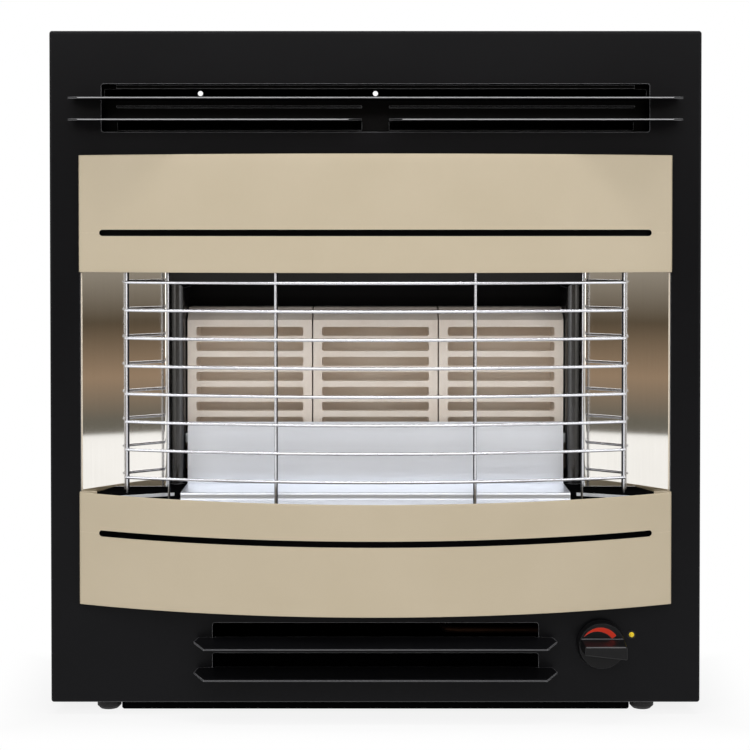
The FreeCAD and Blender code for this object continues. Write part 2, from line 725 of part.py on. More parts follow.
def inner_louvre():
    """The plate behind the outlet, with its openings, centre bridge, small fins and top bar."""
    low = OUTLET_BOTTOM - INNER_PLATE_MARGIN
    high = OUTLET_BOTTOM + OUTLET_HEIGHT + INNER_PLATE_MARGIN
    outer = INNER_PLATE_HALF + INNER_PLATE_FOOT
    path = [
        point(-outer, SHEET, low),
        point(-INNER_PLATE_HALF, SHEET, low),
        point(-INNER_PLATE_HALF, INNER_PLATE_SETBACK, low),
        point(INNER_PLATE_HALF, INNER_PLATE_SETBACK, low),
        point(INNER_PLATE_HALF, SHEET, low),
        point(outer, SHEET, low),
    ]
    plate = folded(path, SHEET, SHEET_BEND, UP, UP * (high - low))
    through = (INNER_PLATE_SETBACK - OVERRUN, INNER_PLATE_SETBACK + OVERRUN)
    bar_bottom = OUTLET_BOTTOM + OUTLET_HEIGHT - INNER_BAR_HEIGHT - INNER_BAR_DROP
    reach = INNER_PLATE_SETBACK - INNER_FIN_REACH
    cuts = [block(-OUTLET_HALF, OUTLET_HALF, *through, UPPER_FIN_Z + FIN_THICKNESS, bar_bottom)]
    fins = [block(-INNER_FIN_HALF, INNER_FIN_HALF, reach, INNER_PLATE_SETBACK, bar_bottom,
                  bar_bottom + INNER_BAR_HEIGHT)]
    for side in (-1, 1):
        inner, outer = sorted((side * BRIDGE_HALF, side * INNER_FIN_HALF))
        top = SPLIT_FIN_Z
        cuts.append(block(inner, outer, *through, top - INNER_SLOT_HEIGHT / 2, top))
        fins.append(block(inner, outer, reach, INNER_PLATE_SETBACK, INNER_FIN_Z,
                          INNER_FIN_Z + FIN_THICKNESS))
    return plate.cut(cuts).fuse(fins)


def lower_fins():
    """The two inlet fins, each along the lower edge of its slot and hooked behind the panel."""
    half = INLET_HALF - CUT_CORNER - LAP_GAP
    fins = []
    for bottom in INLET_SLOT_BOTTOMS:
        width = LOWER_FIN_HALF
        blade = fin(-width, width, bottom, LOWER_FIN_REACH, -half, half, SHEET + SHEET)
        hook = block(-half, half, SHEET, SHEET + SHEET, bottom - FIN_HOOK, bottom)
        fins.append(blade.fuse(hook).removeSplitter())
    return fins


def fascia(bottom, height, bow_bottom, bow_top, slot_z):
    """A bowed band lofted between two plan outlines, with turned ends that seat on the panel."""

    def outline(z, bow):
        half = FASCIA_HALF
        sheet = FASCIA_SHEET
        crown = FASCIA_STANDOFF + bow
        inner = half - sheet
        foot = half - FASCIA_FOOT
        rim = FASCIA_STANDOFF - sheet
        outer_arc = Part.Arc(
            point(-half, -FASCIA_STANDOFF, z), point(0, -crown, z), point(half, -FASCIA_STANDOFF, z)
        )
        inner_arc = Part.Arc(point(inner, -rim, z), point(0, sheet - crown, z), point(-inner, -rim, z))
        right_end = [
            point(half, -FASCIA_STANDOFF, z),
            point(half, 0, z),
            point(foot, 0, z),
            point(foot, -sheet, z),
            point(inner, -sheet, z),
            point(inner, -rim, z),
        ]
        left_end = [FreeCAD.Vector(-corner.x, corner.y, corner.z) for corner in reversed(right_end)]
        edges = [outer_arc.toShape()]
        edges.extend(Part.makePolygon(right_end).Edges)
        edges.append(inner_arc.toShape())
        edges.extend(Part.makePolygon(left_end).Edges)
        return Part.Wire(edges)

    band = Part.makeLoft([outline(bottom, bow_bottom), outline(bottom + height, bow_top)], True, True)
    front = PANEL_Y - FASCIA_STANDOFF
    rims = []
    for edge in band.Edges:
        on_front = edge.BoundBox.YMax < front + LAP_GAP and edge.BoundBox.XLength > FASCIA_HALF
        at_end = edge.BoundBox.ZLength > height - LAP_GAP and edge.BoundBox.YMax < front + LAP_GAP
        if on_front or at_end and abs(edge.CenterOfMass.x) > FASCIA_HALF - LAP_GAP:
            rims.append(edge)
    band = band.makeFillet(FASCIA_EDGE, rims)
    crown = FASCIA_STANDOFF + max(bow_bottom, bow_top)
    band = band.cut(slot_bar(FASCIA_SLOT_HALF, FASCIA_SLOT_HEIGHT, slot_z, -crown - OVERRUN, 0))
    for x, z in fascia_screw_places():
        if bottom < z < bottom + height:
            band = band.cut(rod(point(x, -OVERRUN, z), point(x, OVERRUN, z), SCREW_RADIUS))
    return band


def upper_fascia():
    """The upper band, bowed alike over its whole height."""
    slot_z = UPPER_FASCIA_BOTTOM + FASCIA_SLOT_EDGE
    return fascia(
        UPPER_FASCIA_BOTTOM, UPPER_FASCIA_HEIGHT, UPPER_FASCIA_BOW, UPPER_FASCIA_BOW, slot_z
    )


def lower_fascia():
    """The lower band, which leans out towards its top edge."""
    slot_z = LOWER_FASCIA_BOTTOM + LOWER_FASCIA_HEIGHT - FASCIA_SLOT_EDGE
    return fascia(
        LOWER_FASCIA_BOTTOM, LOWER_FASCIA_HEIGHT, LOWER_BOW_BOTTOM, LOWER_BOW_TOP, slot_z
    )


def fascia_screws():
    """The screws that hold the fascia's ends from behind the panel."""
    length = SHEET + FASCIA_SHEET + SCREW_TAIL / 2
    return [screw(point(x, SHEET, z), -BACK, length) for x, z in fascia_screw_places()]


def right_reflector():
    """A polished sheet that leans in behind the panel, and turns back from its nose beside the cheek."""
    outer = FIRE_HALF + REFLECTOR_FLANGE
    path = [
        point(outer, SHEET, SHELF_TOP),
        point(FIRE_HALF, SHEET, SHELF_TOP),
        point(REFLECTOR_NOSE_X, REFLECTOR_NOSE_DEPTH, SHELF_TOP),
        point(REFLECTOR_INNER_X, REFLECTOR_INNER_DEPTH, SHELF_TOP),
        point(REFLECTOR_INNER_X, REFLECTOR_INNER_DEPTH + REFLECTOR_TAIL, SHELF_TOP),
    ]
    return folded(path, REFLECTOR_SHEET, REFLECTOR_BEND, -UP, UP * (REFLECTOR_TOP - SHELF_TOP))


def left_reflector():
    """The left reflector is the right one's mirror image."""
    return mirrored(right_reflector())


def shelf_wing_corners(z):
    """The outline of the shelf's right-hand wing in front of the panel."""
    return [
        point(SHELF_WING_INNER_X, 0, z),
        point(SHELF_WING_INNER_X, -SHELF_WING_INNER_REACH, z),
        point(SHELF_WING_OUTER_X, -SHELF_WING_REACH, z),
        point(FIRE_HALF - FASCIA_FOOT - LAP_GAP, 0, z),
    ]


def hearth_shelf():
    """The black shelf under the fire: front and end flanges, wings, and holes for pipes."""
    half = SIDE_INNER_X
    path = [
        point(-half, SHEET, SHELF_TOP - SHELF_FLANGE),
        point(-half, SHEET, SHELF_TOP),
        point(-half, FIREBOX_DEPTH, SHELF_TOP),
    ]
    shelf = folded(path, SHEET, SHEET_BEND, -RIGHT, RIGHT * 2 * half)
    adds = []
    front = SHEET + SHEET + SHEET_BEND
    for side in (-1, 1):
        inner, outer = sorted((side * half, side * (half - SHEET)))
        low = SHELF_TOP - SHELF_FLANGE
        adds.append(block(inner, outer, front, FIREBOX_DEPTH, low, SHELF_TOP - SHEET))
    corners = shelf_wing_corners(SHELF_TOP - SHEET)
    corners = [corner + BACK * (front if corner.y == PANEL_Y else 0) for corner in corners]
    wing = Part.Face(Part.makePolygon(corners + corners[:1])).extrude(UP * SHEET)
    adds.extend([wing, mirrored(wing)])
    shelf = shelf.fuse(adds).removeSplitter()
    cuts = []
    for x, depth, radius in shelf_holes():
        start = point(x, depth, SHELF_TOP - OVERRUN)
        cuts.append(rod(start, start + UP * 2 * OVERRUN, radius + PASSAGE_GAP))
    return shelf.cut(cuts)


def shelf_holes():
    """Where the pipes, the venturi and the guard's outer uprights pass through the shelf."""
    holes = [(VENTURI_X, RADIANT_MIDDLE_DEPTH, VENTURI_RADIUS)]
    upright_depth = guard_y(GUARD_HALF, BAR_RADIUS + UPRIGHT_RADIUS) - PANEL_Y
    holes.append((GUARD_HALF, upright_depth, UPRIGHT_RADIUS))
    holes.append((-GUARD_HALF, upright_depth, UPRIGHT_RADIUS))
    for depth, radius in pilot_rods():
        holes.append((PILOT_X, depth, radius))
    return holes


def shelf_trims():
    """The bright strips along the front edges of the shelf's wings."""
    corners = shelf_wing_corners(SHELF_TOP - TRIM_HEIGHT)
    start = corners[1]
    way = (corners[2] - corners[1]).normalize()
    out = way.cross(UP) * TRIM_SHEET
    span = [start, corners[2], corners[2] + out, start + out, start]
    strip = Part.Face(Part.makePolygon(span)).extrude(UP * TRIM_HEIGHT)
    return [strip, mirrored(strip)]


def tray():
    """The polished tray: upright back plate, floor, lip and sloping apron in one folded sheet."""
    base = SHELF_TOP
    path = [
        point(-TRAY_HALF, TRAY_DEPTH + TRAY_PLATE_LEAN, TRAY_PLATE_TOP),
        point(-TRAY_HALF, TRAY_DEPTH, base),
        point(-TRAY_HALF, -TRAY_REACH, base),
        point(-TRAY_HALF, -TRAY_REACH, base - TRAY_LIP),
        point(-TRAY_HALF, -TRAY_REACH - TRAY_APRON_REACH, base - TRAY_LIP - TRAY_APRON_DROP),
    ]
    return folded(path, TRAY_SHEET, TRAY_BEND, -RIGHT, RIGHT * 2 * TRAY_HALF)


def hood():
    """The hood: a ceiling with a front flange, a lip between the cheeks and a flue opening."""
    half = SIDE_INNER_X
    path = [
        point(-half, SHEET, HOOD_Z - HOOD_FLANGE),
        point(-half, SHEET, HOOD_Z + SHEET),
        point(-half, FIREBOX_DEPTH, HOOD_Z + SHEET),
    ]
    ceiling = folded(path, SHEET, SHEET_BEND, -RIGHT, RIGHT * 2 * half)
    inner = CHEEK_OUTER_X
    lip = block(-inner, inner, HOOD_LIP_DEPTH, HOOD_LIP_DEPTH + SHEET, HOOD_LIP_BOTTOM, HOOD_Z)
    middle = RADIANT_MIDDLE_DEPTH
    flue = block(
        -HOOD_FLUE_HALF,
        HOOD_FLUE_HALF,
        middle - HOOD_FLUE_DEPTH / 2,
        middle + HOOD_FLUE_DEPTH / 2,
        HOOD_Z - OVERRUN,
        HOOD_Z + OVERRUN,
    )
    return ceiling.fuse(lip).cut(flue)


def right_cheek():
    """A folded post with a round nose, rounded off at the top as seen from the front."""
    radius = CHEEK_WIDTH / 2
    middle = CHEEK_OUTER_X - radius
    nose = CHEEK_NOSE_DEPTH + radius
    rear = FIREBOX_DEPTH - FIREBOX_SHEET

    def bullnose(outer):
        start = point(middle + outer, rear, SHELF_TOP)
        near = point(middle + outer, nose, SHELF_TOP)
        tip = point(middle, nose - outer, SHELF_TOP)
        far = point(middle - outer, nose, SHELF_TOP)
        stop = point(middle - outer, rear, SHELF_TOP)
        edges = [
            Part.LineSegment(start, near),
            Part.Arc(near, tip, far),
            Part.LineSegment(far, stop),
            Part.LineSegment(stop, start),
        ]
        face = Part.Face(Part.Wire([edge.toShape() for edge in edges]))
        return face.extrude(UP * (CHEEK_TOP - SHELF_TOP))

    post = bullnose(radius).cut(bullnose(radius - CHEEK_SHEET))
    span = (CHEEK_NOSE_DEPTH - OVERRUN, FIREBOX_DEPTH)
    head = slot_bar(CHEEK_TOP, CHEEK_WIDTH, 0, *span)
    head.rotate(point(0, 0, 0), BACK, 90)
    head.translate(RIGHT * middle)
    return post.common(head)


def left_cheek():
    """The left cheek is the right one's mirror image."""
    return mirrored(right_cheek())


def firebox_back():
    """The back of the firebox, with sides that reach forward outside the cheeks."""
    half = CHEEK_OUTER_X + LAP_GAP
    start = FIREBOX_DEPTH - FIREBOX_SIDE
    path = [
        point(-half, start, SHELF_TOP),
        point(-half, FIREBOX_DEPTH - FIREBOX_SHEET, SHELF_TOP),
        point(half, FIREBOX_DEPTH - FIREBOX_SHEET, SHELF_TOP),
        point(half, start, SHELF_TOP),
    ]
    return folded(path, FIREBOX_SHEET, LAP_GAP, UP, UP * (HOOD_Z - SHELF_TOP))


def firebrick():
    """The insulating board behind the radiants."""
    half = CHEEK_INNER_X - RAIL_GAP
    depth = BRICK_DEPTH
    return block(-half, half, depth, depth + BRICK_THICKNESS, BRICK_BOTTOM, BRICK_TOP)


def radiant(index):
    """One hollow ceramic radiant: sloped top, slotted front wall, open back and bottom."""
    pitch = RADIANT_WIDTH + RADIANT_GAP
    middle = (index - (RADIANT_COUNT - 1) / 2) * pitch
    left = middle - RADIANT_WIDTH / 2

    def section(x, front, bottom, shoulder, top, back):
        corners = [
            point(x, front, bottom),
            point(x, front, shoulder),
            point(x, front + RADIANT_SLOPE, top),
            point(x, back, top),
            point(x, back, bottom),
        ]
        return Part.Face(Part.makePolygon(corners + corners[:1]))

    front = RADIANT_FRONT_DEPTH
    back = RADIANT_BACK_DEPTH
    wall = RADIANT_WALL
    body = section(left, front, RADIANT_BOTTOM, RADIANT_SHOULDER, RADIANT_TOP, back)
    body = body.extrude(RIGHT * RADIANT_WIDTH)
    hollow = section(
        left + RADIANT_SIDE,
        front + wall,
        RADIANT_BOTTOM - OVERRUN,
        RADIANT_SHOULDER - wall / 2,
        RADIANT_TOP - wall,
        back + OVERRUN,
    )
    cuts = [hollow.extrude(RIGHT * (RADIANT_WIDTH - 2 * RADIANT_SIDE))]
    for row in range(RADIANT_SLOT_COUNT):
        z = RADIANT_SLOT_TOP - row * RADIANT_SLOT_PITCH
        low = z - RADIANT_SLOT_HEIGHT / 2
        slot = block(
            left + RADIANT_SIDE,
            left + RADIANT_WIDTH - RADIANT_SIDE,
            front - OVERRUN,
            front + wall + OVERRUN,
            low,
            low + RADIANT_SLOT_HEIGHT,
        )
        cuts.append(slot.makeFillet(CUT_CORNER, along_y(slot)))
    return body.cut(cuts)


def radiant_rails():
    """The two angle rails under the radiants, from cheek to cheek."""
    half = CHEEK_INNER_X
    seat = RADIANT_BOTTOM
    front = RADIANT_FRONT_DEPTH
    rear = RADIANT_BACK_DEPTH - RAIL_GAP
    front_path = [
        point(-half, front, seat - RAIL_LEG),
        point(-half, front, seat),
        point(-half, front + RAIL_LEG, seat),
    ]
    rear_path = [
        point(-half, rear - RAIL_LEG, seat),
        point(-half, rear, seat),
        point(-half, rear, seat - RAIL_LEG),
    ]
    run = RIGHT * 2 * half
    return [folded(path, RAIL_SHEET, SHEET_BEND, -RIGHT, run) for path in (front_path, rear_path)]


def burner():
    """The hollow burner bar, with two rows of ports in its top and the venturi's hole below."""
    front = RADIANT_MIDDLE_DEPTH - BURNER_DEPTH / 2
    top = BURNER_BOTTOM + BURNER_HEIGHT
    bar = block(-BURNER_HALF, BURNER_HALF, front, front + BURNER_DEPTH, BURNER_BOTTOM, top)
    long_edges = [edge for edge in bar.Edges if edge.BoundBox.XLength > BURNER_HALF]
    bar = bar.makeFillet(BURNER_ROUND, long_edges)
    hollow = block(
        BURNER_SHEET - BURNER_HALF,
        BURNER_HALF - BURNER_SHEET,
        front + BURNER_SHEET,
        front + BURNER_DEPTH - BURNER_SHEET,
        BURNER_BOTTOM + BURNER_SHEET,
        top - BURNER_SHEET,
    )
    long_edges = [edge for edge in hollow.Edges if edge.BoundBox.XLength > BURNER_HALF]
    cuts = [hollow.makeFillet(BURNER_ROUND - BURNER_SHEET, long_edges)]
    step = 2 * (BURNER_HALF - PORT_MARGIN) / (PORT_COUNT - 1)
    for column in range(PORT_COUNT):
        x = PORT_MARGIN - BURNER_HALF + column * step
        for offset in (-PORT_ROW_OFFSET, PORT_ROW_OFFSET):
            start = point(x, RADIANT_MIDDLE_DEPTH + offset, top - OVERRUN)
            cuts.append(rod(start, start + UP * 2 * OVERRUN, PORT_RADIUS))
    start = point(VENTURI_X, RADIANT_MIDDLE_DEPTH, BURNER_BOTTOM - OVERRUN)
    cuts.append(rod(start, start + UP * 2 * OVERRUN, VENTURI_RADIUS))
    return bar.cut(cuts)


def burner_brackets():
    """Two folded brackets that stand on the shelf and carry the burner bar."""
    front = RADIANT_MIDDLE_DEPTH - BURNER_DEPTH / 2
    brackets = []
    for side in (-1, 1):
        x = side * BURNER_BRACKET_X - BURNER_BRACKET_WIDTH / 2
        path = [
            point(x, front, SHELF_TOP),
            point(x, front + BURNER_DEPTH, SHELF_TOP),
            point(x, front + BURNER_DEPTH, BURNER_BOTTOM),
            point(x, front, BURNER_BOTTOM),
        ]
        run = RIGHT * BURNER_BRACKET_WIDTH
        brackets.append(folded(path, BURNER_SHEET, SHEET_BEND, RIGHT, run))
    return brackets


def venturi():
    """The mixing tube below the burner, with a flared mouth."""
    bore = VENTURI_RADIUS - VENTURI_WALL
    foot = BURNER_BOTTOM - VENTURI_LENGTH
    neck = foot + VENTURI_BELL_LENGTH
    top = BURNER_BOTTOM + BURNER_SHEET
    profile = [
        (bore, top),
        (VENTURI_RADIUS, top),
        (VENTURI_RADIUS, neck),
        (VENTURI_RADIUS + VENTURI_BELL, foot),
        (bore + VENTURI_BELL, foot),
        (bore, neck),
    ]
    return revolved(profile, point(VENTURI_X, RADIANT_MIDDLE_DEPTH, 0), UP)


def injector():
    """The brass jet on the end of the supply pipe, its nose inside the venturi's mouth."""
    foot = BURNER_BOTTOM - VENTURI_LENGTH - INJECTOR_HEX_HEIGHT
    start = point(VENTURI_X, RADIANT_MIDDLE_DEPTH, foot)
    body = hexagon(INJECTOR_HEX, INJECTOR_HEX_HEIGHT, start, UP)
    nose = rod(start, start + UP * (INJECTOR_HEX_HEIGHT + INJECTOR_NOSE), INJECTOR_RADIUS)
    return body.fuse(nose)


def pilot_rods():
    """Depth and line radius of the thermocouple, the pilot and the spark electrode, rear first."""
    middle = RADIANT_MIDDLE_DEPTH
    return [
        (middle + PILOT_ROD_PITCH, LEAD_RADIUS),
        (middle, PILOT_PIPE_RADIUS),
        (middle - PILOT_ROD_PITCH, SPARK_LEAD_RADIUS),
    ]


def pilot_bracket():
    """The angle plate on the burner's left end that holds the pilot, thermocouple and electrode."""
    middle = RADIANT_MIDDLE_DEPTH
    top = BURNER_BOTTOM + PILOT_BRACKET_HEIGHT
    start = middle - PILOT_BRACKET_HALF
    path = [
        point(-BURNER_HALF, start, BURNER_BOTTOM),
        point(-BURNER_HALF, start, top),
        point(PILOT_X - PILOT_HOOD_RADIUS, start, top),
    ]
    plate = folded(path, PILOT_BRACKET_SHEET, SHEET_BEND, -BACK, BACK * 2 * PILOT_BRACKET_HALF)
    radii = (PILOT_ROD_RADIUS, PILOT_RADIUS, PILOT_INSULATOR_RADIUS)
    for (depth, _), radius in zip(pilot_rods(), radii):
        hole = point(PILOT_X, depth, top - OVERRUN)
        plate = plate.cut(rod(hole, hole + UP * 2 * OVERRUN, radius))
    return plate


def pilot_foot():
    """The height at which the pilot's pipe and leads join its three rods."""
    return BURNER_BOTTOM - PILOT_BRACKET_SHEET


def pilot_burner():
    """The pilot jet: a tube with a wider hood that is open at the top."""
    foot = pilot_foot()
    rim = PILOT_TOP - PILOT_HOOD_HEIGHT
    profile = [
        (0, foot),
        (PILOT_RADIUS, foot),
        (PILOT_RADIUS, rim),
        (PILOT_HOOD_RADIUS, rim),
        (PILOT_HOOD_RADIUS, PILOT_TOP),
        (PILOT_RADIUS, PILOT_TOP),
        (PILOT_RADIUS, rim + PILOT_HOOD_HEIGHT / 2),
        (0, rim + PILOT_HOOD_HEIGHT / 2),
    ]
    return revolved(profile, point(PILOT_X, RADIANT_MIDDLE_DEPTH, 0), UP)


def thermocouple():
    """The sensing rod beside the pilot flame."""
    depth = RADIANT_MIDDLE_DEPTH + PILOT_ROD_PITCH
    return rod(point(PILOT_X, depth, pilot_foot()), point(PILOT_X, depth, PILOT_TOP), PILOT_ROD_RADIUS)


def spark_electrode():
    """The ceramic sleeve of the spark electrode, with its bare tip."""
    depth = RADIANT_MIDDLE_DEPTH - PILOT_ROD_PITCH
    foot = pilot_foot()
    sleeve = foot + PILOT_INSULATOR_HEIGHT
    tip = PILOT_ROD_RADIUS / 2
    profile = [
        (0, foot),
        (PILOT_INSULATOR_RADIUS, foot),
        (PILOT_INSULATOR_RADIUS, sleeve),
        (tip, sleeve),
        (tip, PILOT_TOP),
        (0, PILOT_TOP),
    ]
    return revolved(profile, point(PILOT_X, depth, 0), UP)


def on_spindle(depth):
    """A point on the knob's axis."""
    return point(KNOB_X, depth, KNOB_Z)


def valve_body():
    """The tap's casting: nose, block, tapered plug bore, and bosses for the four connections."""
    half = VALVE_HALF
    body = block(
        KNOB_X - half, KNOB_X + half, VALVE_DEPTH, VALVE_END_DEPTH, KNOB_Z - half, KNOB_Z + half
    )
    body = body.makeFillet(VALVE_ROUND, along_y(body))
    nose = rod(on_spindle(NOSE_DEPTH), on_spindle(VALVE_DEPTH), NOSE_RADIUS)
    rear = rod(on_spindle(VALVE_END_DEPTH), on_spindle(VALVE_END_DEPTH + UNION_SHOULDER), UNION_RADIUS)
    outlet = rod(supply_start(), supply_start() + RIGHT * UNION_SHOULDER, 2 * SUPPLY_PIPE_RADIUS)
    body = body.fuse([nose, rear, outlet])
    bore = SPINDLE_RADIUS + RUNNING_GAP
    stub = PLUG_STUB_RADIUS + RUNNING_GAP
    shoulder = PLUG_DEPTH + PLUG_STUB_LENGTH
    far = shoulder + PLUG_LENGTH
    profile = [
        (0, NOSE_DEPTH - OVERRUN),
        (bore, NOSE_DEPTH - OVERRUN),
        (bore, VALVE_DEPTH),
        (stub, VALVE_DEPTH),
        (stub, shoulder - MOVING_GAP),
        (PLUG_LARGE_RADIUS + RUNNING_GAP, shoulder - MOVING_GAP),
        (PLUG_SMALL_RADIUS + RUNNING_GAP, far + MOVING_GAP),
        (0, far + MOVING_GAP),
    ]
    body = body.cut(revolved(profile, on_spindle(0), BACK))
    start = on_spindle(VALVE_END_DEPTH)
    bore_tool = rod(start, start + BACK * (UNION_SHOULDER + OVERRUN), INLET_PIPE_RADIUS)
    start = supply_start()
    return body.cut([bore_tool, rod(start - RIGHT * OVERRUN, start + RIGHT * UNION_SHOULDER,
                                    SUPPLY_PIPE_RADIUS)])


def valve_plug():
    """The tapered plug that meters the gas, slotted at the front for the spindle's tang."""
    shoulder = PLUG_STUB_LENGTH
    profile = [
        (0, 0),
        (PLUG_STUB_RADIUS, 0),
        (PLUG_STUB_RADIUS, shoulder),
        (PLUG_LARGE_RADIUS, shoulder),
        (PLUG_SMALL_RADIUS, shoulder + PLUG_LENGTH),
        (0, shoulder + PLUG_LENGTH),
    ]
    plug = revolved(profile, on_spindle(PLUG_DEPTH), BACK)
    reach = PLUG_STUB_RADIUS + OVERRUN
    gap = TANG_THICKNESS / 2 + MOVING_GAP
    slot = block(
        KNOB_X - reach,
        KNOB_X + reach,
        PLUG_DEPTH - OVERRUN,
        PLUG_DEPTH + TANG_SLOT_DEPTH,
        KNOB_Z - gap,
        KNOB_Z + gap,
    )
    return plug.cut(slot)


def spindle():
    """The tap's spindle: round shaft, thrust collar, and a flat tang that turns the plug."""
    start = on_spindle(-KNOB_BACK_REACH - KNOB_BORE_DEPTH)
    shaft = rod(start, on_spindle(TANG_DEPTH), SPINDLE_RADIUS)
    collar_end = SPINDLE_COLLAR_DEPTH + SPINDLE_COLLAR_LENGTH
    collar = rod(on_spindle(SPINDLE_COLLAR_DEPTH), on_spindle(collar_end), SPINDLE_COLLAR_RADIUS)
    tang = block(
        KNOB_X - TANG_WIDTH / 2,
        KNOB_X + TANG_WIDTH / 2,
        TANG_DEPTH,
        TANG_DEPTH + TANG_LENGTH,
        KNOB_Z - TANG_THICKNESS / 2,
        KNOB_Z + TANG_THICKNESS / 2,
    )
    return shaft.fuse([collar, tang])


def thrust_washer():
    """The washer between the spindle's collar and the return spring."""
    start = on_spindle(SPRING_DEPTH - WASHER_LENGTH)
    disc = rod(start, on_spindle(SPRING_DEPTH), WASHER_RADIUS)
    return disc.cut(rod(start, on_spindle(SPRING_DEPTH), SPINDLE_RADIUS + RUNNING_GAP))


def return_spring():
    """The coil that pushes the knob back out, as one bar along half-turn arcs."""
    room = SPRING_LENGTH - 2 * (SPRING_WIRE_RADIUS + RUNNING_GAP)
    start = SPRING_DEPTH + SPRING_WIRE_RADIUS + RUNNING_GAP

    def place(turn):
        angle = 2 * math.pi * turn
        x = KNOB_X + SPRING_RADIUS * math.cos(angle)
        return point(x, start + room * turn / SPRING_TURNS, KNOB_Z + SPRING_RADIUS * math.sin(angle))

    steps = SPRING_ARCS_PER_TURN * SPRING_TURNS
    share = SPRING_TURNS / steps
    edges = []
    for step in range(steps):
        arc = Part.Arc(place(step * share), place((step + 1 / 2) * share), place((step + 1) * share))
        edges.append(arc.toShape())
    path = Part.Wire(edges)
    ring = Part.Wire(Part.makeCircle(SPRING_WIRE_RADIUS, place(0), edges[0].tangentAt(0)))
    gap = (place(1) - place(0)).Length - 2 * SPRING_WIRE_RADIUS
    print("return spring: least gap between turns", round(gap, 2), "mm")
    return path.makePipeShell([ring], True, False)


def valve_bracket():
    """The angle bracket on the base pan that carries the valve by its nose."""
    floor = BASE_PAN_CLEARANCE + SHEET
    depth = VALVE_DEPTH
    top = KNOB_Z + VALVE_HALF
    start = KNOB_X - VALVE_BRACKET_HALF
    path = [
        point(start, depth - VALVE_BRACKET_FOOT, floor),
        point(start, depth, floor),
        point(start, depth, top),
    ]
    plate = folded(path, VALVE_BRACKET_SHEET, SHEET_BEND, RIGHT, RIGHT * 2 * VALVE_BRACKET_HALF)
    return plate.cut(rod(on_spindle(NOSE_DEPTH), on_spindle(VALVE_DEPTH), NOSE_RADIUS))


def control_knob():
    """The knob: a tapered skirt, hollow behind, with a wedge-shaped grip bar across its face."""
    inner = KNOB_RADIUS - KNOB_WALL
    face = KNOB_SKIRT_REACH
    profile = [
        (0, -face),
        (KNOB_NOSE_RADIUS, -face),
        (KNOB_RADIUS, -KNOB_BACK_REACH),
        (inner, -KNOB_BACK_REACH),
        (inner - KNOB_ROUND, KNOB_WALL - face),
        (KNOB_HUB_RADIUS, KNOB_WALL - face),
        (KNOB_HUB_RADIUS, -KNOB_BACK_REACH),
        (0, -KNOB_BACK_REACH),
    ]
    skirt = revolved(profile, on_spindle(0), BACK)
    upper = KNOB_Z + KNOB_GRIP_TOP
    right_low = upper - KNOB_GRIP_THICK
    left_low = upper - KNOB_GRIP_THIN

    def grip_face(depth, trim):
        corners = [
            point(KNOB_X - KNOB_GRIP_HALF + trim, depth, upper - trim),
            point(KNOB_X + KNOB_GRIP_HALF - trim, depth, upper - trim),
            point(KNOB_X + KNOB_GRIP_HALF - trim, depth, right_low + trim),
            point(KNOB_X - KNOB_GRIP_HALF + trim, depth, left_low + trim),
        ]
        return Part.makePolygon(corners + corners[:1])

    grip = Part.makeLoft([grip_face(-face, 0), grip_face(-KNOB_GRIP_REACH, KNOB_GRIP_TAPER)], True, True)
    rims = [edge for edge in grip.Edges if edge.BoundBox.YMin < PANEL_Y - face - LAP_GAP]
    knob = skirt.fuse(grip.makeFillet(KNOB_ROUND, rims))
    start = on_spindle(-KNOB_BACK_REACH - KNOB_BORE_DEPTH)
    knob = knob.cut(rod(start, on_spindle(0), SPINDLE_RADIUS))
    return knob.cut(mark_tool(MARK_DEPTH + OVERRUN))


def mark_tool(height):
    """The crescent on the knob's face, above the grip, standing out by the given height."""
    centre = on_spindle(MARK_DEPTH - KNOB_SKIRT_REACH)
    out = -BACK * height
    outer = centre - FreeCAD.Vector(MARK_OUTER_LEFT, 0, MARK_OUTER_DOWN)
    inner = centre - FreeCAD.Vector(MARK_INNER_LEFT, 0, MARK_INNER_DOWN)
    crescent = rod(outer, outer + out, MARK_OUTER_RADIUS).cut(rod(inner, inner + out, MARK_INNER_RADIUS))
    corners = [centre]
    for angle in (MARK_START_ANGLE, (MARK_START_ANGLE + MARK_END_ANGLE) / 2, MARK_END_ANGLE):
        turn = math.radians(angle)
        corners.append(centre + FreeCAD.Vector(math.cos(turn), 0, math.sin(turn)) * 2 * KNOB_RADIUS)
    sector = Part.Face(Part.makePolygon(corners + corners[:1])).extrude(out)
    return crescent.common(sector)


def knob_mark():
    """The red crescent, a thin inlay level with the knob's face."""
    return mark_tool(MARK_DEPTH)


def index_stud():
    """The yellow marker beside the knob: a low dome on a tail through the panel."""
    profile = [
        (0, STUD_TAIL),
        (STUD_RADIUS, STUD_TAIL),
        (STUD_RADIUS, -STUD_COLLAR_HEIGHT),
        (STUD_RADIUS / 2, -STUD_COLLAR_HEIGHT - STUD_DOME),
        (0, -STUD_COLLAR_HEIGHT - STUD_DOME),
    ]
    return revolved(profile, point(STUD_X, 0, STUD_Z), BACK)


def stud_collar():
    """The black ring round the index stud, flat on the panel."""
    outer = rod(point(STUD_X, -STUD_COLLAR_HEIGHT, STUD_Z), point(STUD_X, 0, STUD_Z), STUD_COLLAR_RADIUS)
    return outer.cut(
        rod(point(STUD_X, -STUD_COLLAR_HEIGHT, STUD_Z), point(STUD_X, 0, STUD_Z), STUD_RADIUS)
    )


def inlet_pipe():
    """The straight pipe from the bulkhead union to the back of the valve."""
    start = on_spindle(VALVE_END_DEPTH)
    end = on_spindle(FLANGE_DEPTH)
    return rod(start, end, INLET_PIPE_RADIUS).cut(rod(start, end, INLET_PIPE_BORE))


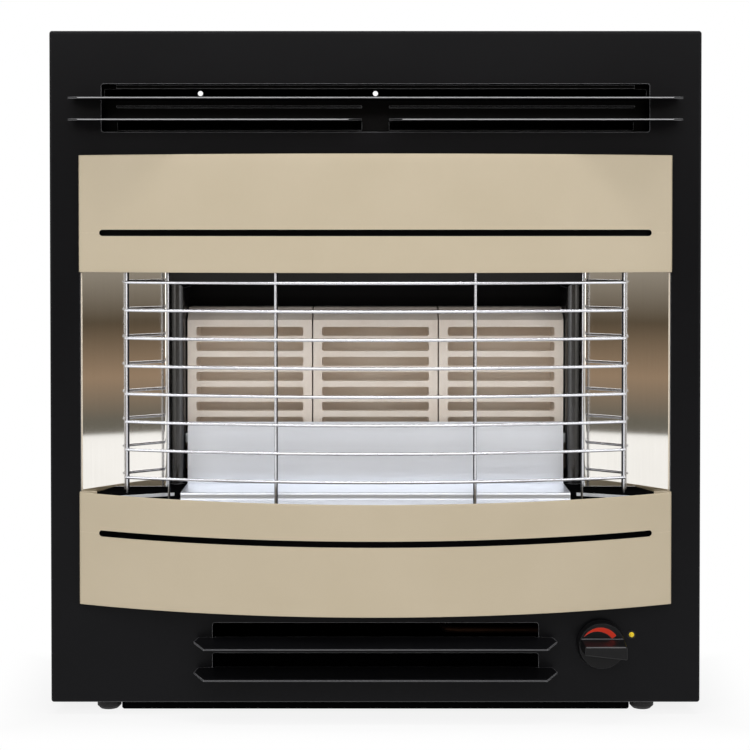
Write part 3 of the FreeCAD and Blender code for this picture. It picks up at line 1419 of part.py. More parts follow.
def inlet_union():
    """The bulkhead union on the back panel: hexagon outside, shank through, socket for the supply."""
    start = on_spindle(FLANGE_DEPTH - UNION_SHOULDER)
    shank = rod(start, on_spindle(CASE_DEPTH), UNION_RADIUS)
    body = hexagon(UNION_HEX, UNION_HEX_LENGTH, on_spindle(CASE_DEPTH), BACK)
    neck = rod(on_spindle(CASE_DEPTH), on_spindle(CASE_DEPTH + UNION_REACH), UNION_RADIUS)
    body = body.fuse([shank, neck])
    pipe_seat = rod(start, on_spindle(FLANGE_DEPTH), INLET_PIPE_RADIUS)
    way = rod(start, on_spindle(CASE_DEPTH + UNION_REACH), INLET_PIPE_BORE)
    socket = rod(on_spindle(CASE_DEPTH), on_spindle(CASE_DEPTH + UNION_REACH), UNION_BORE)
    return body.cut([pipe_seat, way, socket])


def supply_start():
    """Where the burner's supply leaves the left side of the valve."""
    return point(KNOB_X - VALVE_HALF - UNION_SHOULDER, SUPPLY_DEPTH, KNOB_Z)


def supply_pipe():
    """The bent pipe from the valve to the injector."""
    depth = RADIANT_MIDDLE_DEPTH
    top = BURNER_BOTTOM - VENTURI_LENGTH - INJECTOR_HEX_HEIGHT
    points = [
        supply_start() + RIGHT * UNION_SHOULDER,
        point(VENTURI_X, SUPPLY_DEPTH, KNOB_Z),
        point(VENTURI_X, depth, KNOB_Z),
        point(VENTURI_X, depth, top),
    ]
    return pipe(points, SUPPLY_PIPE_RADIUS, SUPPLY_BEND)


def valve_lead(order):
    """One of the three thin lines from the top of the valve up to the pilot."""
    depth, radius = pilot_rods()[order]
    start_depth = SUPPLY_DEPTH + (order - 1) * LEAD_STEP_DEPTH
    height = LEAD_FIRST_Z + order * LEAD_STEP_Z
    points = [
        point(KNOB_X, start_depth, KNOB_Z + VALVE_HALF),
        point(KNOB_X, start_depth, height),
        point(PILOT_X, start_depth, height),
        point(PILOT_X, depth, height),
        point(PILOT_X, depth, pilot_foot()),
    ]
    return pipe(points, radius, LEAD_BEND)


def pilot_pipe():
    """The pilot's gas pipe."""
    return valve_lead(1)


def thermocouple_lead():
    """The thermocouple's lead to the safety valve."""
    return valve_lead(0)


def ignition_lead():
    """The spark electrode's lead from the igniter in the tap."""
    return valve_lead(2)


def flue_collector():
    """The box over the hood that gathers the burnt gas, open below and at the spigot."""
    low = COLLECTOR_BOTTOM
    top = low + COLLECTOR_HEIGHT
    half = COLLECTOR_HALF
    front = COLLECTOR_FRONT_DEPTH
    box = block(-half, half, front, FIREBOX_DEPTH, low, top)
    upper = [edge for edge in box.Edges if edge.BoundBox.ZMin > top - LAP_GAP]
    box = box.makeFillet(COLLECTOR_ROUND, [edge for edge in upper if edge.BoundBox.XLength > half])
    under = [face for face in box.Faces if face.BoundBox.ZMax < low + LAP_GAP]
    shell = box.makeThickness(under, -COLLECTOR_SHEET, LAP_GAP / 1000)
    inner = SPIGOT_HALF - SPIGOT_SHEET
    way = slot_bar(inner, SPIGOT_HEIGHT - 2 * SPIGOT_SHEET, FLUE_Z, FIREBOX_DEPTH - OVERRUN, CASE_DEPTH)
    return shell.cut(way)


def flue_spigot():
    """The flanged flue outlet, from the collector out through the back panel."""
    start = FIREBOX_DEPTH
    end = CASE_DEPTH + SPIGOT_REACH
    flange = slot_bar(
        SPIGOT_HALF + SPIGOT_FLANGE, SPIGOT_HEIGHT + SPIGOT_FLANGE, FLUE_Z, start, start + SPIGOT_SHEET
    )
    tube = slot_bar(SPIGOT_HALF, SPIGOT_HEIGHT, FLUE_Z, start, end)
    inner = SPIGOT_HALF - SPIGOT_SHEET
    way = slot_bar(inner, SPIGOT_HEIGHT - 2 * SPIGOT_SHEET, FLUE_Z, start, end)
    return tube.fuse(flange).cut(way)


def guard_bars():
    """The bowed horizontal bars of the guard, all on one vertical axis."""
    spread = math.degrees(math.asin((GUARD_HALF + BAR_OVERHANG) / GUARD_ARC))
    bars = []
    for row in range(BAR_COUNT):
        z = BAR_TOP_Z - row * BAR_PITCH
        centre = FreeCAD.Vector(0, GUARD_CENTRE_Y, z)
        ring = Part.Wire(Part.makeCircle(BAR_RADIUS, centre - BACK * GUARD_ARC, RIGHT))
        section = Part.Face(ring)
        section.rotate(centre, UP, -spread)
        bars.append(section.revolve(centre, UP, 2 * spread))
    return bars


def guard_uprights():
    """The uprights behind the bars: four with hooked ends, and two thin straight ones."""
    pieces = []
    low, high = HOOK_HEIGHTS
    hooked_inset = BAR_RADIUS + UPRIGHT_RADIUS
    for x in (-GUARD_HALF, -INNER_UPRIGHT_X, INNER_UPRIGHT_X, GUARD_HALF):
        y = guard_y(x, hooked_inset)
        tail = PANEL_Y + HOOK_TAIL
        corners = [(tail, low), (y, low), (y, high), (tail, high)]
        path = [FreeCAD.Vector(x, corner_y, z) for corner_y, z in corners]
        pieces.append(pipe(path, UPRIGHT_RADIUS, HOOK_BEND))
    thin_inset = BAR_RADIUS + THIN_UPRIGHT_RADIUS
    for x in (-THIN_UPRIGHT_X, THIN_UPRIGHT_X):
        y = guard_y(x, thin_inset)
        start = FreeCAD.Vector(x, y, BAR_BOTTOM_Z - THIN_UPRIGHT_OVERHANG)
        end = FreeCAD.Vector(x, y, BAR_TOP_Z + THIN_UPRIGHT_OVERHANG)
        pieces.append(rod(start, end, THIN_UPRIGHT_RADIUS))
    return pieces


SINGLE_PIECES = (
    front_panel,
    left_side_panel,
    right_side_panel,
    top_panel,
    back_panel,
    base_pan,
    inner_louvre,
    upper_fascia,
    lower_fascia,
    left_reflector,
    right_reflector,
    hearth_shelf,
    tray,
    hood,
    left_cheek,
    right_cheek,
    firebox_back,
    firebrick,
    burner,
    venturi,
    injector,
    pilot_bracket,
    pilot_burner,
    thermocouple,
    spark_electrode,
    valve_body,
    valve_plug,
    spindle,
    thrust_washer,
    return_spring,
    valve_bracket,
    control_knob,
    knob_mark,
    index_stud,
    stud_collar,
    inlet_pipe,
    inlet_union,
    supply_pipe,
    pilot_pipe,
    thermocouple_lead,
    ignition_lead,
    flue_collector,
    flue_spigot,
)
GROUPED_PIECES = (
    back_screws,
    feet,
    upper_fins,
    lower_fins,
    fascia_screws,
    shelf_trims,
    radiant_rails,
    burner_brackets,
    guard_bars,
    guard_uprights,
)
RADIANT_NAMES = ("radiant_left", "radiant_centre", "radiant_right")


def export(name, solids):
    """Writes one piece, or one group of like pieces, to its own file."""
    shape = Part.makeCompound(solids) if len(solids) > 1 else solids[0]
    shape.exportStep(os.path.join("parts", name + ".step"))


def main():
    """Builds every piece and writes it."""
    os.makedirs("parts", exist_ok=True)
    for piece in SINGLE_PIECES:
        export(piece.__name__, piece().Solids)
    for group in GROUPED_PIECES:
        export(group.__name__, [solid for piece in group() for solid in piece.Solids])
    for index, name in enumerate(RADIANT_NAMES):
        export(name, radiant(index).Solids)


main()
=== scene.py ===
import json
import logging
import math
from dataclasses import dataclass, replace
from enum import Enum
from typing import Optional, Sequence

import bpy
import numpy as np
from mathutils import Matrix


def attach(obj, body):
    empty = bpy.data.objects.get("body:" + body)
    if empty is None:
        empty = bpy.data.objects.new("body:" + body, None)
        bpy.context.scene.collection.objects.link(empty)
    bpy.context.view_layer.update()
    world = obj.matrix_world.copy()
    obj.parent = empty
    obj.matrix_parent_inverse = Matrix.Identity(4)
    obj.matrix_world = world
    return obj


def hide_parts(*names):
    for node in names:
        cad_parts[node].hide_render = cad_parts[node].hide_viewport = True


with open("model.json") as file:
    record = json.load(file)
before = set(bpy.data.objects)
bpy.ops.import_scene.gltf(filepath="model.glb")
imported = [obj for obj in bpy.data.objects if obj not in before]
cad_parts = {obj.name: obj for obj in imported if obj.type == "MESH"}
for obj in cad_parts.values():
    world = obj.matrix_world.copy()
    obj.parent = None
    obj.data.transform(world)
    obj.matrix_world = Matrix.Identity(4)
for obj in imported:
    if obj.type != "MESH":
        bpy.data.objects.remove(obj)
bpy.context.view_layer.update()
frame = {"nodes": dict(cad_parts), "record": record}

logging.basicConfig(level=logging.INFO, format="%(message)s")
LOG = logging.getLogger("gas_fire")
MM = 0.001
ROOT = "fire"
# Y of the front panel's face, in mm.
PANEL_Y = -56.65
WHITE = "#FFFFFF"
# The sRGB curve: the end and slope of its straight foot, then its power curve's offset, scale and exponent.
SRGB_FOOT, SRGB_SLOPE = 0.04045, 12.92
SRGB_OFFSET, SRGB_SCALE, SRGB_POWER = 0.055, 1.055, 2.4
# Sockets of the node that mixes two colours.
MIX_SHARE, MIX_FIRST, MIX_SECOND, MIX_RESULT = 0, 6, 7, 2
# Broad patches of a finish: how much finer noise they carry, and how rough it is.
PATCH_DETAIL, PATCH_ROUGHNESS = 3.0, 0.55
# The part of the fine pattern's range that the roughness follows.
FINE_RANGE = (0.25, 0.75)
# How much the fine pattern adds to the patches in the colour, and the range between the two tones.
FINE_SHARE, TONE_RANGE = 0.35, (0.4, 0.95)
# How much finer noise the fine pattern carries, on clay and elsewhere, and a streak's length in its widths.
CLAY_DETAIL, PLAIN_DETAIL, STREAK_LENGTH = 6.0, 2.0, 60
COAT_ROUGHNESS = 0.12
# A side counts as an inner side, which takes painted shade, where its normal's X times its own X, in metres,
# lies below minus this.
INNER_LEAST = 0.03
# Painted highlights on edges: rays that look for an edge, and how far the rounded normal turns from the flat
# one, as cosines.
EDGE_SAMPLES, EDGE_TURN = 6, (0.97, 0.72)
# Corners closer than this are welded before edges are rounded, in metres, and the least angle of an edge.
WELD_GAP, EDGE_ANGLE = 0.00001, 40
# Points on a bar's domed end, and round the bar.
DOME_STEPS, TUBE_SIDES = 6, 20


def linear(code: str) -> tuple[float, float, float, float]:
    """Turns an sRGB hex code into the linear colour that shaders use.

    Args:
        code: six hex digits after a hash sign.

    Returns:
        Red, green, blue and an alpha of 1.
    """
    parts = [int(code[i : i + 2], 16) / 255 for i in (1, 3, 5)]
    red, green, blue = [
        p / SRGB_SLOPE if p <= SRGB_FOOT else ((p + SRGB_OFFSET) / SRGB_SCALE) ** SRGB_POWER for p in parts
    ]
    return red, green, blue, 1.0


def add_node(
    tree: bpy.types.NodeTree, kind: str, inputs: Optional[dict] = None, **settings
) -> bpy.types.Node:
    """Adds one shader node, sets its own options and fills its sockets.

    Args:
        tree: the node tree to add to.
        kind: the node's type name.
        inputs: socket name or number to a constant, or to another node's output.
        settings: options of the node itself.

    Returns:
        The new node.
    """
    node = tree.nodes.new(kind)
    for key, value in settings.items():
        setattr(node, key, value)
    for key, value in (inputs or {}).items():
        if isinstance(value, bpy.types.NodeSocket):
            tree.links.new(value, node.inputs[key])
        else:
            node.inputs[key].default_value = value
    return node


def sums(tree: bpy.types.NodeTree, operation: str, *values, **settings) -> bpy.types.NodeSocket:
    """Adds one step of arithmetic on single values.

    Args:
        tree: the node tree to add to.
        operation: the step's name.
        values: constants or other nodes' outputs, in order.
        settings: further options of the node.

    Returns:
        The result.
    """
    return add_node(
        tree, "ShaderNodeMath", dict(enumerate(values)), operation=operation, **settings
    ).outputs[0]


def vectors(tree: bpy.types.NodeTree, operation: str, *values) -> bpy.types.Node:
    """Adds one step of arithmetic on vectors.

    Args:
        tree: the node tree to add to.
        operation: the step's name.
        values: constants or other nodes' outputs, in order.

    Returns:
        The new node.
    """
    return add_node(tree, "ShaderNodeVectorMath", dict(enumerate(values)), operation=operation)


def ranged(
    tree: bpy.types.NodeTree,
    value: bpy.types.NodeSocket,
    start: tuple[float, float],
    end: tuple[float, float] = (0.0, 1.0),
    **settings,
) -> bpy.types.NodeSocket:
    """Maps a value from one range to another, and holds it at the ends.

    Args:
        tree: the node tree to add to.
        value: the value to map.
        start: the range that it comes from.
        end: the range that it goes to.
        settings: further options of the node.

    Returns:
        The mapped value.
    """
    inputs = {"Value": value, "From Min": start[0], "From Max": start[1], "To Min": end[0], "To Max": end[1]}
    return add_node(tree, "ShaderNodeMapRange", inputs, **settings).outputs[0]


def mix_colours(tree: bpy.types.NodeTree, share: bpy.types.NodeSocket, first, second) -> bpy.types.NodeSocket:
    """Mixes two colours.

    Args:
        tree: the node tree to add to.
        share: of the second colour, from 0 to 1.
        first: a constant colour or another node's output.
        second: a constant colour or another node's output.

    Returns:
        The mixed colour.
    """
    inputs = {MIX_SHARE: share, MIX_FIRST: first, MIX_SECOND: second}
    return add_node(tree, "ShaderNodeMix", inputs, data_type="RGBA").outputs[MIX_RESULT]


def empty_material(name: str) -> bpy.types.Material:
    """Makes a material whose node tree is empty.

    Args:
        name: of the material.

    Returns:
        The new material.
    """
    material = bpy.data.materials.new(name)
    material.use_nodes = True
    material.node_tree.nodes.clear()
    return material


class Grain(Enum):
    """The fine pattern that a finish carries."""

    PEEL = "even spots, as on sprayed paint and moulded plastic"
    BRUSHED = "long streaks, as on rolled or polished sheet"
    SPANGLE = "crystal cells, as on galvanised sheet"
    CLAY = "pits and specks, as on fired ceramic"


@dataclass(frozen=True)
class Finish:
    """One material: its colours, its gloss and the scale of its pattern, all in plain numbers.

    Attributes:
        name: the real material.
        colour: main colour as sRGB hex.
        second: the colour that it drifts to in broad soft patches.
        metallic: 0 for paint and ceramic, 1 for bare metal.
        roughness: middle of the roughness range.
        spread: how far the roughness drifts to each side.
        grain: the kind of fine pattern.
        grain_mm: size of one spot, streak, cell or pit.
        bump_mm: height of the fine pattern.
        patch_mm: size of the broad patches.
        along: axis number that streaks run along.
        specular: strength of the clear reflection on a non-metal.
        coat: strength of a clear top layer.
        smear: how much wider reflections spread across the streaks than along them, from 0 to 1.
        edge: the colour of sharp edges, a painted highlight where they catch the light.
        edge_mm: how far that reaches from an edge.
        front: the colour of faces that look to the front, where it differs, for painted highlights and
            painted shade.
        front_least: how squarely a face looks to the front to take that colour, from 0 to 1.
        inner: the colour of the sides that look to the middle, on pieces far out, where it differs, for
            painted shade.
    """

    name: str
    colour: str
    second: str
    metallic: float = 0.0
    roughness: float = 0.5
    spread: float = 0.05
    grain: Grain = Grain.PEEL
    grain_mm: float = 0.8
    bump_mm: float = 0.01
    patch_mm: float = 90.0
    along: int = 0
    specular: float = 0.5
    coat: float = 0.0
    smear: float = 0.0
    edge: str = ""
    edge_mm: float = 0.7
    front: str = ""
    front_least: float = 0.5
    inner: str = ""

    def material(self) -> bpy.types.Material:
        """Builds the procedural material in object coordinates.

        Returns:
            The new material.
        """
        material = empty_material(self.name)
        tree = material.node_tree
        place = add_node(tree, "ShaderNodeTexCoord").outputs["Object"]
        fine = self._fine(tree, place)
        patches = {"Scale": 1 / (self.patch_mm * MM), "Detail": PATCH_DETAIL, "Roughness": PATCH_ROUGHNESS}
        broad = add_node(tree, "ShaderNodeTexNoise", {"Vector": place, **patches}).outputs[0]
        least = max(self.roughness - self.spread, 0.0)
        relief = {"Height": fine, "Strength": 1.0, "Distance": self.bump_mm * MM}
        shader = add_node(
            tree,
            "ShaderNodeBsdfPrincipled",
            {
                "Base Color": self._colour(tree, fine, broad),
                "Metallic": self.metallic,
                "Roughness": ranged(tree, fine, FINE_RANGE, (least, self.roughness + self.spread)),
                "Specular IOR Level": self.specular,
                "Coat Weight": self.coat,
                "Coat Roughness": COAT_ROUGHNESS,
                "Anisotropic": self.smear,
                "Normal": add_node(tree, "ShaderNodeBump", relief).outputs[0],
                "Tangent": add_node(tree, "ShaderNodeTangent", direction_type="RADIAL", axis="Z").outputs[0],
            },
        ).outputs[0]
        add_node(tree, "ShaderNodeOutputMaterial", {"Surface": shader})
        return material

    def _fine(self, tree: bpy.types.NodeTree, place: bpy.types.NodeSocket) -> bpy.types.NodeSocket:
        """Adds the fine pattern.

        Args:
            tree: the material's node tree.
            place: object coordinates.

        Returns:
            A value from 0 to 1.
        """
        scale = 1 / (self.grain_mm * MM)
        if self.grain is Grain.SPANGLE:
            cells = add_node(tree, "ShaderNodeTexVoronoi", {"Vector": place, "Scale": scale})
            return add_node(tree, "ShaderNodeRGBToBW", {"Color": cells.outputs["Color"]}).outputs[0]
        if self.grain is Grain.BRUSHED:
            stretch = [scale, scale, scale]
            stretch[self.along] = scale / STREAK_LENGTH
            place = add_node(tree, "ShaderNodeMapping", {"Vector": place, "Scale": stretch}).outputs[0]
            scale = 1.0
        detail = CLAY_DETAIL if self.grain is Grain.CLAY else PLAIN_DETAIL
        return add_node(
            tree, "ShaderNodeTexNoise", {"Vector": place, "Scale": scale, "Detail": detail}
        ).outputs[0]

    def _colour(
        self, tree: bpy.types.NodeTree, fine: bpy.types.NodeSocket, broad: bpy.types.NodeSocket
    ) -> bpy.types.NodeSocket:
        """Adds the colour: patches between two tones, then painted highlights and painted shade on fronts,
        painted shade on inner sides and painted highlights on edges.

        Args:
            tree: the material's node tree.
            fine: the fine pattern.
            broad: the broad patches.

        Returns:
            The colour.
        """
        tone = ranged(tree, sums(tree, "MULTIPLY_ADD", fine, FINE_SHARE, broad), TONE_RANGE)
        body = mix_colours(tree, tone, linear(self.colour), linear(self.second))
        masks = ((self.front, self._fronts), (self.inner, self._inner_sides), (self.edge, self._edge_highlights))
        for code, mask in masks:
            if code:
                body = mix_colours(tree, mask(tree), body, linear(code))
        return body

    def _fronts(self, tree: bpy.types.NodeTree) -> bpy.types.NodeSocket:
        """Finds faces that look to the front, for painted highlights and painted shade.

        Args:
            tree: the material's node tree.

        Returns:
            1 on those faces and 0 elsewhere.
        """
        normal = add_node(tree, "ShaderNodeTexCoord").outputs["Normal"]
        forward = add_node(tree, "ShaderNodeSeparateXYZ", {0: normal}).outputs["Y"]
        return sums(tree, "LESS_THAN", forward, -self.front_least)

    def _inner_sides(self, tree: bpy.types.NodeTree) -> bpy.types.NodeSocket:
        """Finds sides that look to the middle, on pieces far out, for painted shade.

        Args:
            tree: the material's node tree.

        Returns:
            1 on those sides and 0 elsewhere.
        """
        spot = add_node(tree, "ShaderNodeTexCoord")
        turned = add_node(tree, "ShaderNodeSeparateXYZ", {0: spot.outputs["Normal"]}).outputs["X"]
        across = add_node(tree, "ShaderNodeSeparateXYZ", {0: spot.outputs["Object"]}).outputs["X"]
        return sums(tree, "LESS_THAN", sums(tree, "MULTIPLY", turned, across), -INNER_LEAST)

    def _edge_highlights(self, tree: bpy.types.NodeTree) -> bpy.types.NodeSocket:
        """Finds sharp edges for the painted highlight, where a rounded normal turns away from the flat one.

        Args:
            tree: the material's node tree.

        Returns:
            1 at an edge, falling to 0 away from it.
        """
        rounding = {"Radius": self.edge_mm * MM}
        round_way = add_node(tree, "ShaderNodeBevel", rounding, samples=EDGE_SAMPLES).outputs[0]
        flat_way = add_node(tree, "ShaderNodeNewGeometry").outputs["Normal"]
        turn = vectors(tree, "DOT_PRODUCT", round_way, flat_way).outputs["Value"]
        return ranged(tree, turn, EDGE_TURN)


# One finish for each of the record's material slots, with what it gives the eye.
FINISHES: dict[str, Finish] = {
    # Baked black coat: soft sheen, very fine orange peel, and a painted highlight along sharp edges.
    "black_coated_steel": Finish(
        "black_coated_steel",
        "#0E0E10",
        "#121214",
        roughness=0.3,
        spread=0.03,
        grain_mm=0.9,
        bump_mm=0.003,
        specular=0.08,
        edge="#9C9C9F",
        edge_mm=1.0,
    ),
    # Warm beige satin coat, even over the whole band, with a painted highlight along sharp edges.
    "champagne_coated_steel": Finish(
        "champagne_coated_steel",
        "#C3B59B",
        "#C9BBA2",
        roughness=0.45,
        grain_mm=0.7,
        bump_mm=0.004,
        specular=0.35,
        edge="#DFD2BB",
        edge_mm=0.8,
    ),
    # Mirror-bright sheet with a faint rolling streak.
    "polished_stainless": Finish(
        "polished_stainless",
        "#D9D6D0",
        "#E2DFDA",
        metallic=1.0,
        roughness=0.055,
        spread=0.002,
        smear=1.0,
        grain=Grain.BRUSHED,
        grain_mm=1.2,
        bump_mm=0.0,
        along=2,
    ),
    # Brighter, softer sheet of the tray.
    "bright_stainless": Finish(
        "bright_stainless",
        "#E4E8F0",
        "#EAEEF5",
        metallic=0.75,
        roughness=0.36,
        spread=0.02,
        grain=Grain.BRUSHED,
        grain_mm=0.8,
        bump_mm=0.0,
    ),
    # Bright zinc plate on drawn wire.
    "plated_wire": Finish(
        "plated_wire",
        "#C4C5CA",
        "#D2D3D8",
        metallic=1.0,
        roughness=0.26,
        spread=0.02,
        grain_mm=6.0,
        bump_mm=0.0,
    ),
    # Cream fired clay with pits and specks.
    "fired_ceramic": Finish(
        "fired_ceramic",
        "#F0E2D4",
        "#F8EEE3",
        roughness=0.85,
        grain=Grain.CLAY,
        grain_mm=1.6,
        bump_mm=0.12,
        patch_mm=35.0,
        specular=0.2,
    ),
    "fibre_board": Finish(
        "fibre_board",
        "#F0E0CE",
        "#F6EADB",
        roughness=0.95,
        grain=Grain.CLAY,
        grain_mm=2.4,
        bump_mm=0.2,
        specular=0.1,
    ),
    "white_porcelain": Finish("white_porcelain", "#EDEBE4", "#F4F2EC", roughness=0.2, grain_mm=3.0, coat=0.4),
    # Zinc crystals on hot-dipped sheet.
    "galvanised_steel": Finish(
        "galvanised_steel",
        "#A3A8AC",
        "#B9BEC2",
        metallic=1.0,
        roughness=0.38,
        spread=0.08,
        grain=Grain.SPANGLE,
        grain_mm=7.0,
        bump_mm=0.0,
        patch_mm=60.0,
    ),
    "zinc_plated_screws": Finish(
        "zinc_plated_screws", "#B9BCC0", "#C8CACC", metallic=1.0, roughness=0.3, grain_mm=0.3, bump_mm=0.003
    ),
    "spring_steel": Finish(
        "spring_steel", "#8E9196", "#A2A5A9", metallic=1.0, roughness=0.35, grain_mm=0.3, bump_mm=0.003
    ),
    "cast_aluminium": Finish(
        "cast_aluminium", "#A9ABAD", "#B8BABB", metallic=1.0, roughness=0.5, grain_mm=0.6, bump_mm=0.03
    ),
    "turned_brass": Finish(
        "turned_brass", "#C7A356", "#D6B56A", metallic=1.0, roughness=0.28, grain_mm=0.4, bump_mm=0.004
    ),
    "copper_pipe": Finish(
        "copper_pipe", "#8E5C40", "#A06A4A", metallic=1.0, roughness=0.4, grain_mm=0.8, bump_mm=0.004
    ),
    # Moulded knob: a shade lighter than the panel, with a fine spark-eroded texture and a painted highlight
    # along sharp edges.
    "black_plastic": Finish(
        "black_plastic",
        "#101011",
        "#141415",
        roughness=0.36,
        grain_mm=0.35,
        bump_mm=0.006,
        specular=0.15,
        edge="#58585A",
        edge_mm=0.5,
    ),
    "red_mark": Finish(
        "red_mark", "#C22E1A", "#CE3722", roughness=0.5, grain_mm=0.5, bump_mm=0.004, specular=0.15
    ),
    "yellow_plastic": Finish(
        "yellow_plastic", "#F6D021", "#FADA34", roughness=0.3, grain_mm=0.5, specular=0.3
    ),
    "silicone_lead": Finish(
        "silicone_lead", "#B9B6AC", "#C6C3BA", roughness=0.6, grain_mm=0.8, bump_mm=0.01
    ),
    "black_rubber": Finish("black_rubber", "#141414", "#1B1B1B", roughness=0.8, grain_mm=0.7, bump_mm=0.03),
}

# The same materials where they look different on one piece, most of them with painted highlights or painted
# shade.
BLACK = FINISHES["black_coated_steel"]
# Fins: painted highlights on their front edges, bright on the upper fins and grey on the lower.
BRIGHT_EDGED = replace(BLACK, name="black_coat_bright_edges", front="#A4A4A6", front_least=0.9)
GREY_EDGED = replace(BLACK, name="black_coat_grey_edges", front="#4C4C4E", front_least=0.4)
# Behind the louvre: painted shade, darker than the panel, with painted highlights on the edges.
INSIDE = replace(
    BLACK, name="black_coat_inside", colour="#050506", second="#080809", edge="#A8A8AA", edge_mm=1.1
)
# Shelf and base: dull.
DULL = replace(
    BLACK, name="black_coat_dull", colour="#0A0A0B", second="#0D0D0E", roughness=0.8, specular=0.0, edge=""
)
# Beside and over the radiants: shinier; the hood is also painted a shade lighter, a painted sheen.
ROLLED = replace(BLACK, name="black_coat_rolled", roughness=0.25, specular=1.0)
SHEEN = replace(BLACK, name="black_coat_painted_sheen", colour="#171718", second="#1B1B1C", specular=0.6)
# The grip's edges, painted pale: a painted highlight.
PAINTED_GRIP_HIGHLIGHT = replace(
    FINISHES["black_plastic"], name="black_plastic_painted_highlight", colour="#5A5A5C", second="#646466", edge=""
)
# The pipe to the burner, painted dark: painted shade, so that it sinks into the dark of the slot.
PAINTED_PIPE_SHADE = replace(
    FINISHES["copper_pipe"], name="copper_painted_shade", colour="#35251C", second="#443024", roughness=0.6
)
# Uprights with painted shade on their inner sides, which face the dark of the chamber.
PAINTED_SHADE_UPRIGHTS = replace(FINISHES["plated_wire"], name="plated_wire_painted_shade_inside", inner="#2A2A2E")
# The reflectors' edge, painted warm and pale: a painted highlight that carries the colour of the band beside
# it.
WARM_PAINTED_HIGHLIGHT = replace(
    FINISHES["bright_stainless"],
    name="bright_stainless_warm_painted_highlight",
    colour="#E2D6C2",
    second="#E9DECD",
    metallic=0.5,
)
# The back panel, with painted shade: black on its inner face, which faces the dark chamber.
PAINTED_BACK_SHADE = replace(FINISHES["galvanised_steel"], name="galvanised_steel_painted_shade_inside", front="#050505")
# The pieces and CAD nodes that take one of these.
VARIANTS: dict[str, Finish] = {
    "upper_fins": BRIGHT_EDGED,
    "lower_fins": GREY_EDGED,
    "inner_louvre": INSIDE,
    "back_panel": PAINTED_BACK_SHADE,
    "hearth_shelf": DULL,
    "base_pan": DULL,
    "grip_edges": PAINTED_GRIP_HIGHLIGHT,
    "guard_uprights_smooth": PAINTED_SHADE_UPRIGHTS,
    "reflector_beads": WARM_PAINTED_HIGHLIGHT,
    "supply_pipe": PAINTED_PIPE_SHADE,
    "hood": SHEEN,
    "left_cheek": ROLLED,
    "right_cheek": ROLLED,
}


class Paint:
    """Keeps one material for each slot, and gives it to pieces and to CAD nodes."""

    def __init__(self, finishes: dict[str, Finish], variants: dict[str, Finish]) -> None:
        """Builds every material once.

        Args:
            finishes: material slot to finish.
            variants: piece or CAD node to the finish that it takes instead.
        """
        self.materials = {slot: finish.material() for slot, finish in finishes.items()}
        special = {finish: finish.material() for finish in dict.fromkeys(variants.values())}
        self.special = {node: special[finish] for node, finish in variants.items()}
        self.slots = {row["node"]: row["material_slot"] for row in frame["record"]["subparts"]}

    def on(self, piece: bpy.types.Object, slot: str) -> None:
        """Puts one slot's material, or the piece's own variant of it, on a new piece.

        Args:
            piece: the new piece.
            slot: the material slot.
        """
        piece.data.materials.clear()
        piece.data.materials.append(self.special.get(piece.name, self.materials[slot]))

    def nodes(self) -> None:
        """Puts each CAD node's material on it."""
        for name, node in frame["nodes"].items():
            for holder in node.material_slots:
                holder.link = "OBJECT"
                holder.material = self.special.get(name, self.materials[self.slots[name]])


def soften(names: Sequence[str], width_mm: float, segments: int = 2) -> None:
    """Rounds the sharp edges of CAD nodes with modifiers, which leave their own meshes as they are.

    Args:
        names: CAD nodes.
        width_mm: how far the rounding reaches from an edge.
        segments: steps across the rounding.
    """
    for name in names:
        node = frame["nodes"][name]
        weld = node.modifiers.new("weld", "WELD")
        weld.merge_threshold = WELD_GAP
        bevel = node.modifiers.new("edges", "BEVEL")
        bevel.width = width_mm * MM
        bevel.segments = segments
        bevel.limit_method = "ANGLE"
        bevel.angle_limit = math.radians(EDGE_ANGLE)
        bevel.harden_normals = False
        LOG.info("softened %s", name)


def make_piece(name: str, grids: Sequence[np.ndarray], body: str) -> bpy.types.Object:
    """Makes one object from grids of points, each smooth by itself and joined to nothing.

    Args:
        name: the object's name.
        grids: arrays of rows by columns by 3 in metres, whose outside is where rows turn to columns
            by the right-hand rule.
        body: the CAD body that it rides on.

    Returns:
        The new object.
    """
    points = []
    faces = []
    start = 0
    for grid in grids:
        rows, columns = grid.shape[:2]
        index = start + np.arange(rows * columns).reshape(rows, columns)
        quads = np.stack([index[:-1, :-1], index[1:, :-1], index[1:, 1:], index[:-1, 1:]], axis=-1)
        points.append(grid.reshape(-1, 3))
        faces.append(quads.reshape(-1, 4))
        start += rows * columns
    mesh = bpy.data.meshes.new(name)
    mesh.from_pydata(np.concatenate(points).tolist(), [], np.concatenate(faces).tolist())
    mesh.validate()
    mesh.polygons.foreach_set("use_smooth", np.ones(len(mesh.polygons), dtype=bool))
    mesh.update()
    piece = bpy.data.objects.new(name, mesh)
    bpy.context.scene.collection.objects.link(piece)
    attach(piece, body)
    LOG.info("made %s", name)
    return piece


